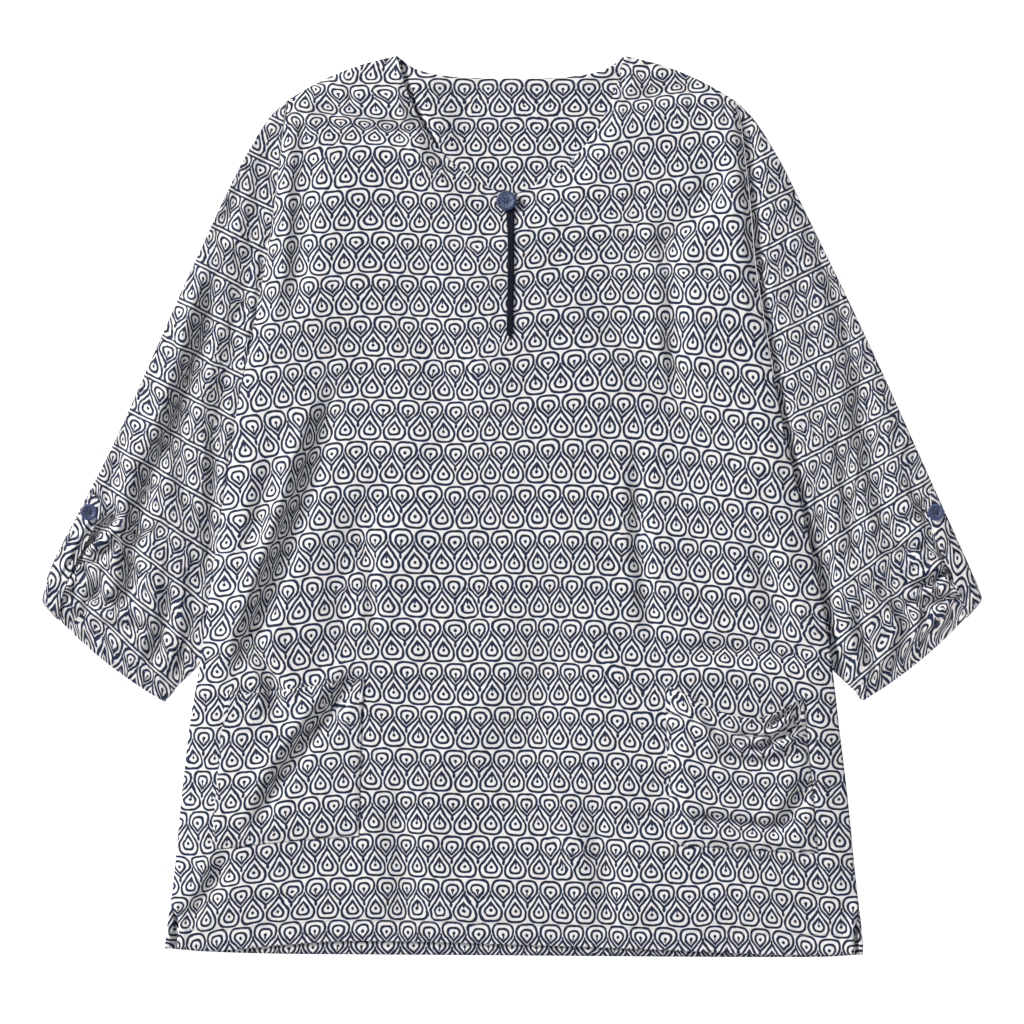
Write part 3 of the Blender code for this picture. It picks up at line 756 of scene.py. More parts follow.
teardropPrint = teardropGroup()
plainWeave = weaveGroup()
stitchRow = stitchGroup()
fineCreases = creaseGroup()

printedCloth = {
    "ground": (0.886, 0.880, 0.872), "groundWarm": (0.894, 0.852, 0.822),
    # the second ink colour is paler: partly worn ink, partly a painted highlight on the weave's
    # high threads
    "ink": (0.0075, 0.0165, 0.0480), "inkWornAndHighlit": (0.020, 0.036, 0.088),
    # the second colour here is painted shade, multiplied in where the weave sinks between its
    # threads
    "thread": (0.66, 0.66, 0.68), "paintedShadeBetweenThreads": (0.30, 0.30, 0.32),
    "threadPitch": 0.42, "weaveDepth": 0.07, "stitchDepth": 0.35,
    "roughness": 0.84, "gloss": 0.2, "sheen": 0.06, "sheenRoughness": 0.45,
}
# how far small wrinkles move the print and how deep they are, in mm, and how bright the cloth's
# colour is, where under 1 is painted shade on the crumpled sleeves
smooth = {"across": 1, "along": 0.65, "rule": 0, "creaseDepth": 1.9, "ground": 1}
crumpledAndShaded = {"across": 2, "along": 0.8, "rule": 1, "creaseDepth": 4.2, "ground": 0.93}


def makePrintedCloth(name, foldsAndShade):
    look = printedCloth
    material, tree, shader = newMaterial(name)
    cloth = mapOf(tree, "cloth")
    drops = addGroup(teardropPrint, Cloth=cloth, Across=foldsAndShade["across"], Along=foldsAndShade["along"],
                     Rule=foldsAndShade["rule"])
    weave = addGroup(plainWeave, Cloth=cloth, Thread=look["threadPitch"])
    stitches = addGroup(stitchRow, Seams=mapOf(tree, "seams"))
    wrinkles = addGroup(fineCreases, Cloth=cloth)
    # the ground is painted darker by that share: painted shade on the crumpled sleeves
    ground, warm = [tuple(foldsAndShade["ground"] * c for c in look[tone])
                    for tone in ("ground", "groundWarm")]
    ground = mixColour(drops["Tint"], ground, warm)
    # the ink is paler where the threads rise: partly wear, partly a painted highlight
    ink = mixColour(weave["Shade"], look["ink"], look["inkWornAndHighlit"])
    colour = mixColour(drops["Ink"], ground, ink)
    # painted shade: the colour is darkened a little where the weave's Shade mask is low, between
    # the threads
    gap = timesPlus(steps(weave["Shade"], 0.1, 0.75), -0.10, 0.10)
    colour = mixColour(gap, colour, look["paintedShadeBetweenThreads"], "MULTIPLY")
    colour = mixColour(times(stitches["Thread"], 0.35), colour, look["thread"])
    normal = bumped(wrinkles["Height"], foldsAndShade["creaseDepth"])
    normal = bumped(stitches["Height"], look["stitchDepth"], Normal=normal)
    normal = bumped(weave["Height"], look["weaveDepth"], Normal=normal)
    setInputs(shader, {
        "Base Color": colour, "Normal": normal,
        "Roughness": timesPlus(drops["Ink"], -0.08, look["roughness"]),
        "Specular IOR Level": look["gloss"], "Sheen Weight": look["sheen"],
        "Sheen Roughness": look["sheenRoughness"]})
    return material


printed = makePrintedCloth("printedCloth", smooth)
printedCrumpledShaded = makePrintedCloth("printedClothCrumpledShaded", crumpledAndShaded)
print("cloth materials ready")


def distanceTo(line, x, y):
    # distance from each place to a line of points, and how far along it the nearest point is
    lengths = np.concatenate([[0], np.cumsum(np.abs(np.diff(line)))])
    spots = (x + 1j * y).ravel()
    away, along = np.empty(spots.shape), np.empty(spots.shape)
    for start in range(0, len(spots), 4000):
        some = slice(start, start + 4000)
        gap = np.abs(spots[some, None] - line[None, :])
        away[some] = gap.min(axis=1)
        along[some] = lengths[gap.argmin(axis=1)]
    return away.reshape(x.shape), along.reshape(x.shape)


def hemRows(bands, hemTurn, count):
    # Rows down a piece, then round its hem's fold and back up behind it. Each has its share of
    # the piece's length, its share of the fold's turn, and how far behind the fold it is.
    marks = markRun(*bands)
    rows = [(mark, 0, 0) for mark in marks]
    rows += [(marks[-1], turn, 0) for turn in np.linspace(0.2, 1, 5)]
    rows += [(marks[-1], 1, behind) for behind in markRun((0, hemTurn, count))[1:]]
    return np.array(rows).T


def foldUnder(y, z, turn, behind, radius):
    angle = math.pi * turn
    return y - radius * np.sin(angle) + behind, z - radius * (1 - np.cos(angle))


def panelSeams(x, neck, hemAway, neckStitch, hemStitch):
    # along and beside the row of stitches at the neck or at the hem, whichever is nearer
    neckAway, neckAlong = neck
    nearNeck = neckAway < hemAway
    return (np.where(nearNeck, neckAlong, x + 400),
            np.where(nearNeck, neckAway - neckStitch, hemAway - hemStitch))


def slitHalf(share):
    return neckSlit["half"] + neckSlit["flare"] * (1 - ease(0, 0.35, share))


def frontSpots(across, down):
    spot = frontPatch(across, down)
    x, y = spot.real, spot.imag
    z = frontTop(x, y, across, down)
    # the slit bends a little to the left
    return x - 1.3 * np.exp(-(x / 32) ** 2) * ease(110, 190, y), y, z


def clothOfFront(x, y, slackX, slackY):
    # place on the printed cloth, in step with the middle of the chest
    look = frontPanel
    stretch = 1.2 * np.sin(x / 26 + y / 150) + 0.5 * np.sin(x / 15 - y / 90 + 2)
    tuck = creaseTuck(look["creases"], x, y, look["tuck"])
    nearSlit = ease(166, 232, y) * ease(60, 0, np.abs(x))
    u = x + stretch + slackX + 0.8 * tuck.real
    v = y + grainDrop(x, y) + 3.6 * nearSlit - slackY + tuck.imag
    return u + look["print"][0], v + look["print"][1]


def makeFront():
    look = frontPanel
    columns = bothSides(markRun(*look["columns"]))
    rows = hemRows(look["rows"], look["hemTurn"], 6)
    across, down, turn, behind = np.broadcast_arrays(columns, *rows[:, :, None])
    x, flatY, z = frontSpots(across, down)
    y, foldedZ = foldUnder(flatY, z, turn, behind, look["hemRadius"])
    slackX = slackAlong(x, flatY, z, 1, len(columns) // 2)
    slackY = slackAlong(x, flatY, z, 0, int(len(down) * 0.45))
    u, v = clothOfFront(x, flatY, slackX, slackY)
    v = v - behind - math.pi * look["hemRadius"] * turn
    neck = distanceTo(neckEdge(frontPatch, 900), x, flatY)
    hemAway = flatY - readCurve(hemLine, "share", "front", across)
    seamAlong, seamAway = panelSeams(x, neck, hemAway, 6, look["hemTurn"] - 1.5)
    jump = -3 * ease(166, 232, flatY) * ease(60, 0, x)
    piece = clothPiece("frontPanel", (x, y, foldedZ), (u, v), (seamAlong, seamAway + turn * 40),
                       lay["cloth"], printed, slit=(neckSlit["rows"], slitHalf), jump=jump)
    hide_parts("front_panel")


backPanel = {
    "rows": ((0, 0.03, 10), (0.03, 0.94, 144), (0.94, 1, 20)),
    "columns": ((0, neckShare, 34), (neckShare, 0.95, 36), (0.95, 1, 14)),
    "ventLip": {"left": (4.4, 4.6), "right": (3.4, 4.8)},   # width and height of its raised edge
    "neckSwell": 4.4,       # the back's cloth stands up beside the neck's left edge
    "hemTurn": 16,
    "neckBand": 9,          # a narrow turned edge inside the back neck
    "turnLift": 0.42,       # both turned edges are a layer thicker
    "print": (500.2, 497.75),   # where the panel's middle lies on the printed cloth
    "spread": 0.942,        # under 1, as the print lies wider than on the flat cloth
}


def backSpots(across, down):
    look = backPanel
    spot = backPatch(across, down)
    x, y = spot.real, spot.imag
    height = tuckLift(x, y) + lay["backTop"]
    ragged = 1 + 0.25 * np.sin(y / 2.9) + 0.2 * np.sin(y / 1.7 + 1)
    for side in wayOut:
        wide, high = look["ventLip"][side]
        inside = (edgeX(side, y) - x) * wayOut[side]
        lip = high * ragged * ease(wide + 1.6, wide, inside)
        height = height + lip * ease(ventTop[side] + 4, ventTop[side] - 14, y)
    away = distanceTo(frontPatch(np.linspace(0.29, 0.36, 200), 0), x, y)[0]
    beside = ease(2.5, 6.5, away) * ease(48, 12, away)
    edge = frontPatch(np.linspace(0.28, 0.46, 300), 0)
    within = x - np.interp(y, edge.imag[::-1], edge.real[::-1])     # how far inside the opening
    beside = beside * ease(384, 366, y) * ease(300, 306, y) * ease(1.5, 5.5, within)
    return x, y, height + look["neckSwell"] * beside * ease(-30, -60, x)


def makeBack():
    look = backPanel
    across, down = np.meshgrid(bothSides(markRun(*look["columns"])), markRun(*look["rows"]))
    x, y, z = backSpots(across, down)
    hemAway = y - readCurve(hemLine, "share", "back", across)
    neck = distanceTo(neckEdge(backPatch, 700), x, y)
    for away, width in ((neck[0], look["neckBand"]), (hemAway, look["hemTurn"])):
        z = z + look["turnLift"] * ease(width + 1.2, width, away)
    u = x * look["spread"] + look["print"][0] + 1.2 * np.sin(x / 24 + 1)
    v = y + look["print"][1] + 0.5 * grainDrop(x, np.minimum(y, 200)) * ease(330, 200, y)
    v = v + 0.125 * np.maximum(y - 373, -120)
    seams = panelSeams(x, neck, hemAway, look["neckBand"] - 1.2, look["hemTurn"] - 1.5)
    piece = clothPiece("backPanel", (x, y, z), (u, v), seams, lay["cloth"], printed)
    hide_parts("back_panel")


makeFront()
print("front panel laid")
makeBack()
print("back panel laid")


# Sleeves: flattened tubes, sewn to the body's edge and tucked a little under its sides
sleeves = {
    "puff": 3.4, "lowest": 1.35,
    "length": 395,
    "axis": (0.3776, -0.926), "start": (212, 232),     # the right sleeve's line and its start
    "print": (380.9, 502.65),   # where that start lies on the printed cloth
    "under": 0.06,          # height of the underside
    "underarmRise": 0.3, "underarmReach": 70,      # where the armhole's end bunches up
    "tuck": 1,              # cloth that a crease swallows, for its depth
    "rowTuck": 0.35,        # and how much of that the rows follow
    "gather": (1.22, 1.06),     # how much closer the print lies than on the flat cloth
    "turn": (0.07, 0.33),   # how far the rows turn from the armhole to the cuff
    "crumple": 1.6,         # how far small wrinkles sway the print near the cuff
    "cuffBow": 6,
    "cuffTurn": 15,
    "cuffRadius": 0.33,
    "topColumns": 84, "underColumns": 24, "noseColumns": 5,
    "rows": ((0, 0.05, 8), (0.05, 0.80, 100), (0.80, 0.985, 40), (0.985, 1, 5)),
    # the hollow beside the body: how far out, how wide and how deep
    "valley": {"left": (14, 7, 3.6), "right": (3.5, 6, 3.4)},
    "pucker": 0.6,          # small waves along the armholes
    "creases": {
        "left": [
            crease(-262, 196, -318, 22, 6, 8.5, 6.4, 0.9),
            crease(-316, 30, -336, -78, -3, 8, 5.6, 0.7),
            crease(-343, -6, -377, -36, 3, 5.5, 5, -0.5),
            crease(-352, -12, -368, -26, -2, 5, 3.6, 0.5),
            crease(-394, -63, -410, -86, 1, 4.5, 4.4, 0.6),
            crease(-330, -86, -398, -70, 6, 5.5, 4.4, -0.4),
            crease(-318, -108, -372, -96, 4, 6, 3.6, -0.4),
            crease(-322, -52, -352, -92, 0, 6.5, 3.6, 0.5),
            crease(-300, -62, -316, -140, 4, 7, 3.6, 0.6),
            crease(-236, 290, -262, 236, 3, 8, 3.8, 0.5),
            crease(-290, 96, -282, 0, -6, 9, 3.6, 0.6),
            crease(-340, 66, -352, 6, 3, 6.5, 3.8, -0.6),
            crease(-356, -60, -392, -112, 4, 5.5, 3.6, 0.5),
            crease(-300, -20, -334, -34, -3, 6, 3, 0.4),
            crease(-368, -26, -404, -84, 1, 4, 4.6, 0.3),
            crease(-344, -34, -374, -42, 2, 4, 3, 0.4),
            crease(-340, -58, -378, -56, -3, 4.5, 2.8, 0.4),
            crease(-258, 60, -266, -60, 2, 6.5, 3.4, 0.6),
            crease(-376, -36, -344, -9, 1.5, 3.4, 7, -0.3),
            crease(-394, -64, -407, -84, 1, 3, 4.6, 0.3),
            crease(-362, -8, -390, -62, 0, 2.6, 4.8, 0.2),
            crease(-352, -22, -338, -36, 1, 3, 4.2, 0.3),
            crease(-382, -48, -352, -46, -2, 2.6, 4.4, 0.3),
            crease(-276, -96, -288, -150, 2, 6, 3.2, 0.5),
            crease(-369, -41, -338, -15, 1.5, 3.6, -2.6, 0),
            crease(-384, -64, -398, -84, 1, 3.4, -2.4, 0),
        ],
        "right": [
            crease(300, 132, 330, -30, -8, 10, 4.2, 0.7),
            crease(262, 232, 296, 120, 5, 8, 3.6, 0.6),
            crease(340, 26, 366, -22, 3, 6.5, 4.2, 0.6),
            crease(338, -12, 366, -14, 3, 5.5, 4, -0.4),
            crease(350, -72, 382, -53, -2, 3.4, 7.4, 0.5),
            crease(380, -58, 399, -76, 1, 4.4, 8.4, 0.2),
            crease(366, -60, 372, -82, 1, 2.6, 4.6, 0.4),
            crease(374, -78, 394, -84, 2, 2.6, 4.6, 0.4),
            crease(334, -84, 402, -76, -4, 5, 4.6, -0.4),
            crease(391, -70, 403, -90, 1, 4, 5, 0.5),
            crease(316, -70, 352, -108, 2, 6.5, 3.6, 0.6),
            crease(362, -84, 358, -118, -2, 5, 3.6, 0.7),
            crease(382, -88, 384, -106, 1, 4, 3.4, 0.7),
            crease(300, -84, 318, -142, -4, 6.5, 3.4, 0.6),
            crease(282, 60, 296, -40, 4, 8, 3.4, 0.6),
            crease(320, -40, 352, -34, -3, 6, 3.4, -0.4),
            crease(342, -100, 332, -140, 3, 6, 3, 0.5),
            crease(368, -26, 404, -84, -1, 4, 4.4, 0.3),
            crease(356, -36, 380, -52, 2, 4, 3.4, 0.4),
            crease(262, 20, 276, -90, 3, 6.5, 3.2, 0.5),
            crease(370, -70, 391, -86, 1, 3.8, -3.4, 0),
            crease(348, -62, 380, -45, -2, 3.6, -2.8, 0),
        ],
    },
}


def sleevePatch(side):
    def fold(name):
        def spot(down):
            return (readCurve(sleeveRings[side], "share", name + "X", down)
                    + 1j * readCurve(sleeveRings[side], "share", name + "Y", down))
        return spot

    def armhole(across):
        y = shoulderTip + (lay["underarm"] - shoulderTip) * across
        return edgeX(side, y) + wayOut[side] * lay["seamGap"] + 1j * y

    def cuff(across):
        return bowed(outer(1), inner(1), wayOut[side] * sleeves["cuffBow"], across)

    outer, inner = fold("outer"), fold("inner")
    return fillBetween(armhole, cuff, outer, inner)


def sleeveTop(side, x, y, across, down):
    look = sleeves
    clear = ease(0, 0.12, across) * ease(1, 0.84, across)
    clear = clear * ease(0, 0.07, down) * ease(1, 0.93, down)
    beside = (x - edgeX(side, y)) * wayOut[side]        # how far outside the body's edge
    at, reach, depth = look["valley"][side]
    valley = depth * np.exp(-((beside - at) / reach) ** 2 / 2) * ease(-185, -140, y)
    tucked = ease(9, -2, beside) * ease(120, 90, y)     # flat under the body's side
    loft = look["puff"] + creaseHeight(look["creases"][side], x, y)
    loft = loft + swellHeight(bodySwells, x * 1.3 + 70, y * 1.2 - 40) * 0.9
    loft = loft + look["pucker"] * armholeWaves(y, beside)
    height = lay["sleeve"] + loft * clear * (1 - tucked) - valley * ease(-0.02, 0.02, down)
    return softFloor(height, look["lowest"], 0.3)


def sleeveCloth(side, x, y, down):
    # rows across the sleeve, which turn with its cut towards the cuff
    look, sign = sleeves, wayOut[side]
    axis, start = [complex(sign * across, up) for across, up in (look["axis"], look["start"])]
    tuck = creaseTuck(look["creases"][side], x, y, look["tuck"]) * np.conj(axis)
    away = (x + 1j * y - start) * np.conj(axis)
    along, across = away.real + look["rowTuck"] * tuck.real, (away.imag + tuck.imag) * sign
    turn = look["turn"][0] + (look["turn"][1] - look["turn"][0]) * ease(150, 400, along)
    rough = look["crumple"] * ease(0.45, 0.95, down)
    v = along + turn * away.imag * sign
    u = across + 0.17 * along + 1.6 * np.sin(along / 34) + 1.4 * np.sin(across / 19 + 1)
    sway = np.sin(u / 5.1 + v / 8.3) * np.sin(v / 6.7 - u / 11 + 1)
    swayToo = np.sin(v / 5.7 - u / 7.9 + 2) * np.sin(u / 8.9 + v / 13)
    u = u * look["gather"][0] + rough * sway
    v = v * look["gather"][1] + rough * 0.5 * swayToo
    return u * sign + look["print"][0], look["print"][1] - v


def makeSleeve(side):
    look = sleeves
    patch = sleevePatch(side)
    radius = lay["sleeve"] / 2
    # round the tube: under it from the inner fold, over the outer fold, back over the top
    nose = np.linspace(0, math.pi, look["noseColumns"] + 2)[1:-1]
    columns = [("under", share, math.pi) for share in np.linspace(1, 0, look["underColumns"] + 1)]
    columns += [("outerFold", 0, angle) for angle in nose[::-1]]
    columns += [("top", share, 0) for share in np.linspace(0, 1, look["topColumns"] + 1)]
    columns += [("innerFold", 1, angle) for angle in (*nose, math.pi)]
    rows = hemRows(look["rows"], look["cuffTurn"], 5)
    part, flat, angle, down, turn, behind = np.broadcast_arrays(
        *[np.array(column) for column in zip(*columns)], *rows[:, :, None])

    def byPart(top, under, outerFold, innerFold):
        return np.select([part == "top", part == "under", part == "outerFold"],
                         [top, under, outerFold], innerFold)

    width = np.abs(patch(0, down) - patch(1, down))
    edge = radius / width
    flatAcross = edge + (1 - 2 * edge) * flat
    across = flatAcross + byPart(0, 0, -1, 1) * edge * np.sin(angle)
    drawnIn = down - behind / look["length"]
    spot = patch(across, drawnIn)
    topZ = sleeveTop(side, spot.real, spot.imag, across, down)
    underarm = np.abs(spot - complex(patch(1, 0).real, lay["underarm"]))
    bottomZ = look["under"] + look["underarmRise"] * ease(look["underarmReach"], 36, underarm)
    z = bottomZ + (topZ - bottomZ) * (1 + np.cos(angle)) / 2
    # the turned cuff: past the fold the cloth runs back inside the tube
    toMiddle = byPart(-1, 1, -np.cos(angle), -np.cos(angle))
    z = z + toMiddle * look["cuffRadius"] * (1 - np.cos(math.pi * turn))
    out = patch(across, 1) - patch(across, 0.97)
    spot = spot + out / np.abs(out) * look["cuffRadius"] * np.sin(math.pi * turn)
    # the print runs on round both folds
    over = patch(flatAcross, drawnIn)
    u, v = sleeveCloth(side, over.real, over.imag, down)
    uOuter, uInner = [sleeveCloth(side, fold.real, fold.imag, down)[0]
                      for fold in (patch(edge, down), patch(1 - edge, down))]
    way = np.sign(uOuter - uInner)
    u = byPart(u, 2 * uOuter + way * math.pi * radius - u, uOuter + way * radius * angle,
               uInner - way * radius * angle)
    v = v - look["rowTuck"] * slackAlong(over.real, over.imag, byPart(topZ, 0, 0, 0), 0, 60)
    cuffAway = np.where(turn > 0, 90, (1 - down) * look["length"] + behind)
    seams = (250 + flat * width, cuffAway - look["cuffTurn"] + 1.5)
    piece = clothPiece("sleeve" + side.title(), (spot.real, spot.imag, z), (u, v - 2 * behind),
                       seams, lay["cloth"], printedCrumpledShaded, flip=side == "right", join=True)
    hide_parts("sleeve_" + side)


for side in wayOut:
    makeSleeve(side)
    print("sleeve laid:", side)


# Tabs that hold the rolled sleeves, buttoned at their upper ends
tabs = {
    "width": 19, "length": 85, "thickness": 0.9, "stitch": 1.6, "print": (300, 400),
    "start": 0.785,         # where the tab begins, as a share of the sleeve
    "lip": 1.6, "bend": 1.45, "drop": 2.1,         # its end turns down over the cuff's edge
    "proud": 1.3, "clear": 1.25,                   # how high it lies over a flat or creased sleeve
    "crown": 0.7, "edgeDrop": 0.25, "curl": 1.6,
    "rows": 70, "columns": 22,
}


def tabSpots(side, across, down):
    look, patch = tabs, sleevePatch(side)
    reach = look["start"] + (1 - look["start"]) * np.minimum(down, 1)
    width = np.abs(patch(0, reach) - patch(1, reach))
    share = (lay["sleeve"] / 2 + across * look["width"]) / width
    outward = patch(share, 1) - patch(share, 0.9)
    spot = patch(share, reach) + outward / np.abs(outward) * look["lip"] * np.maximum(0, down - 1)
    x, y = spot.real, spot.imag
    edges = look["edgeDrop"] * (ease(0.06, 0, across) + ease(0.94, 1, across))
    crown = look["crown"] * (1 - (2 * across - 1) ** 2) - edges
    loose = ease(0.05, 0.3, down) * ease(1, 0.9, down)
    ripple = loose * (0.35 * np.sin(down * 9 + across * 3) + look["curl"] * across ** 3)
    height = lay["sleeve"] + look["proud"] + lay["cloth"] + crown + ripple
    resting = sleeveTop(side, x, y, share, reach) + look["clear"]
    return x, y, np.maximum(height, resting) - look["drop"] * ease(look["bend"], 2, down)


def makeTab(side):
    look = tabs
    across, down = np.meshgrid(np.linspace(0, 1, look["columns"] + 1),
                               markRun((0, 1, look["rows"]), (1, 2, 8)))
    aside, along = across * look["width"], down * look["length"]
    u, v = look["print"][0] + wayOut[side] * aside, look["print"][1] - along
    edgeAway = np.minimum(np.minimum(across, 1 - across) * look["width"], along)
    piece = clothPiece("tab" + side.title(), tabSpots(side, across, down), (u, v),
                       (along + aside, edgeAway - look["stitch"]), look["thickness"], printed,
                       flip=side == "right")
    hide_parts("tab_" + side)


for side in wayOut:
    makeTab(side)
print("tabs laid")


# Pockets: patches cut from the same cloth, sewn on the front panel with their mouths open
pockets = {
    "top": 0.7045, "bottom": 0.883, "width": 118,
    "panelLength": 652,     # of the front panel, which top and bottom are shares of
    "mouthTurn": 20, "mouthRadius": 0.5, "gap": 0.12, "stitch": 1.7,
    "columns": 64, "rows": 70,
    "sag": {"left": 3, "right": 22},               # how far the mouth's slack hangs down
    "stand": {"left": 1.6, "right": 6.5},          # and how far it stands up
    "loft": {"left": 0.8, "right": 2.6},           # fullness over the panel, inside the edges
    "lean": {"left": 0, "right": 0.22},            # where the mouth's slack hangs lowest
    "shift": {"left": (3, 2), "right": (-3, -2.5)},    # how far the print is off the panel's
    "creases": {
        "left": [crease(-150, -168, -196, -266, -4, 8, 3, 0.7)],
        "right": [crease(166, -184, 214, -212, -6, 4, 5.2, 0.6),
                  crease(206, -211, 251, -178, -6, 3.8, 7.4, -0.5),
                  crease(222, -192, 250, -173, 2, 3, 5, -0.4),
                  crease(196, -196, 226, -200, -3, 3, 5, 0.4),
                  crease(176, -214, 246, -216, -7, 6, 3.6, -0.5),
                  crease(160, -272, 236, -282, -2, 6, 3.2, 0.5)],
    },
}


def pocketAcross(side, share):
    # a share of the pocket's width as a share of the front panel's
    return 0.5 + wayOut[side] * (neckShare + (pocketShare - neckShare) * share) / 2


def pocketSpots(side, share, down):
    look = pockets
    sag, stand, loft, lean = [look[key][side] for key in ("sag", "stand", "loft", "lean")]
    x, y, z = frontSpots(pocketAcross(side, share), down)
    place = np.clip(share - lean * share * (1 - share), 0, 1)
    depth = (look["bottom"] - down) / (look["bottom"] - look["top"])
    slack = (4 * place * (1 - place)) ** 1.3 * np.clip(depth, 0, 1) ** 2
    sideAway = np.minimum(share, 1 - share) * look["width"]
    ridge = 0.22 * ease(0, 1, sideAway) * ease(9, 7.5, sideAway)
    inside = ease(0, 14, sideAway) * ease(0, 0.10, depth)
    own = creaseHeight(look["creases"][side], x, y - sag * slack)
    z = z + lay["cloth"] + look["gap"] + ridge + stand * slack
    z = z + (loft + np.maximum(own, -loft - stand * slack)) * inside
    return x, y - sag * slack, z


def makePocket(side):
    look = pockets
    share = np.linspace(0, 1, look["columns"] + 1)[::wayOut[side]]
    edge = look["top"] + 0.004
    rows = hemRows(((look["bottom"], edge, look["rows"]), (edge, look["top"], 2)),
                   look["mouthTurn"], 6)
    share, down, turn, behind = np.broadcast_arrays(share, *rows[:, ::-1, None])
    drawnIn = down + behind / look["panelLength"]
    x, flatY, flatZ = pocketSpots(side, share, drawnIn)
    restX, restY, restZ = frontSpots(pocketAcross(side, share), drawnIn)
    fromSide = np.minimum(share, 1 - share)
    y = flatY + look["mouthRadius"] * np.sin(math.pi * turn)
    folded = 0.9 * look["mouthRadius"] * (1 - np.cos(math.pi * turn)) * ease(0, 0.06, fromSide)
    z = np.maximum(flatZ - folded, restZ + lay["cloth"] + 0.1)
    slackX = slackAlong(x, flatY, flatZ, 1, look["columns"] // 2)
    u, v = clothOfFront(restX, restY, slackX, 0)
    u = u + look["shift"][side][0]
    v = v + look["shift"][side][1] + np.where(turn > 0, 2 * behind + 1.6 * turn, 0)
    bottomAway = (look["bottom"] - down) * look["panelLength"]
    edgeAway = np.minimum(fromSide * look["width"], bottomAway) - look["stitch"]
    mouthAway = (down - look["top"]) * look["panelLength"] - look["mouthTurn"] + 1.5
    nearEdge = np.abs(edgeAway) < np.abs(mouthAway)
    seams = ((1 - down) * look["panelLength"] + x + 300,
             np.where(nearEdge, edgeAway, mouthAway) + 60 * turn)
    piece = clothPiece("pocket" + side.title(), (x, y, z), (u, v), seams, lay["cloth"], printed)
    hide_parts("pocket_" + side)


for side in wayOut:
    makePocket(side)
print("pockets laid")


# The slit's binding: a narrow folded strip down both legs, joined at its foot
binding = {
    "proud": 0.35, "crown": 0.55, "inset": 0.25, "part": 0.3, "foot": 2.4, "thickness": 0.9,
    "sink": 0.1, "rows": 60, "halfWidth": 6, "print": (200, 200),
    # near-black: partly the binding's own dark navy, partly painted shade of the slit's narrow
    # opening
    "colour": (0.0045, 0.0055, 0.0120), "colourPaintedHighlight": (0.016, 0.020, 0.036),
    "roughness": 0.80, "gloss": 0.12, "sheen": 0.02, "weaveDepth": 0.06, "threadPitch": 0.34,
}


def makeBindingMaterial():
    look = binding
    material, tree, shader = newMaterial("bindingWithPaintedShade")
    weave = addGroup(plainWeave, Cloth=mapOf(tree, "cloth"), Thread=look["threadPitch"])
    # painted highlight: the binding is paler where its weave's threads rise
    shade = steps(weave["Shade"], 0.2, 0.9)
    setInputs(shader, {
        "Base Color": mixColour(shade, look["colour"], look["colourPaintedHighlight"]),
        "Roughness": timesPlus(weave["Shade"], 0.12, look["roughness"]),
        "Specular IOR Level": look["gloss"], "Sheen Weight": look["sheen"],
        "Normal": bumped(weave["Height"], look["weaveDepth"])})
    return material


bindingWithPaintedShade = makeBindingMaterial()


def parting(share):
    # the strip's two legs part, and more so towards the top
    return binding["part"] * (1 + 2 * (1 - ease(0, 0.4, share)))


def makeBinding():
    look = binding
    rows = look["rows"]
    down = np.concatenate([np.linspace(0, 1, rows + 1), [1, 1]])
    foot = np.concatenate([np.zeros(rows + 1), [0.5, 1]])
    across, down, foot = np.broadcast_arrays(np.linspace(-1, 1, 17), down[:, None], foot[:, None])
    x, y, z = frontSpots(np.full_like(across, 0.5), down * slitShare)
    half = (slitHalf(down) - look["inset"]) * (1 - 0.75 * foot)
    leg = np.abs(across) * 2 - 1
    crown = look["crown"] * np.sqrt(np.clip(1 - leg ** 2, 0, 1)) * (1 - foot)
    spots = (x + across * half, y - look["foot"] * foot, z + look["proud"] + crown - look["sink"])
    along = down * neckSlit["length"]
    u, v = look["print"][0] + across * look["halfWidth"], look["print"][1] + along
    piece = clothPiece("slitBinding", spots, (u, v), (along, np.full_like(across, 300)),
                       look["thickness"], bindingWithPaintedShade, slit=(rows - 3, parting), flip=True)
    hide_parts("slit_binding")


makeBinding()
print("slit bound")


# Buttons: turned from their profiles, with four holes painted on and sewn through with thread
buttons = {
    "neck": {"radius": 8.7, "thickness": 2.8, "at": (-5, 266), "shank": 1.9,
             "holeRing": 1.9, "hole": 0.85,
             "colour": (0.056, 0.080, 0.172), "flecks": (0.30, 0.34, 0.46),
             "rim": (0.030, 0.046, 0.120)},
    "sleeve": {"radius": 7.2, "thickness": 2.6, "onTab": (0.42, 0.14), "shank": 0,
               "holeRing": 1.7, "hole": 0.8,
               "colour": (0.036, 0.050, 0.118), "flecks": (0.17, 0.20, 0.31),
               "rim": (0.060, 0.085, 0.210)},
    # the last colour is near-black painted shade for the buttons' holes
    "clouds": (0.62, 0.66, 0.76), "paintedHoleShade": (0.004, 0.005, 0.010),
    "middle": 0.70,         # height of the dish in the top, as a share of the thickness
}
# a button's section from the middle of its top outwards, in shares of its radius and thickness
buttonSection = [
    (0, buttons["middle"]), (0.315, 0.71), (0.56, 0.76), (0.658, 0.90), (0.728, 0.985), (0.83, 1),
    (0.92, 0.95), (0.975, 0.82), (1, 0.60), (1, 0.40), (0.97, 0.18), (0.88, 0)]


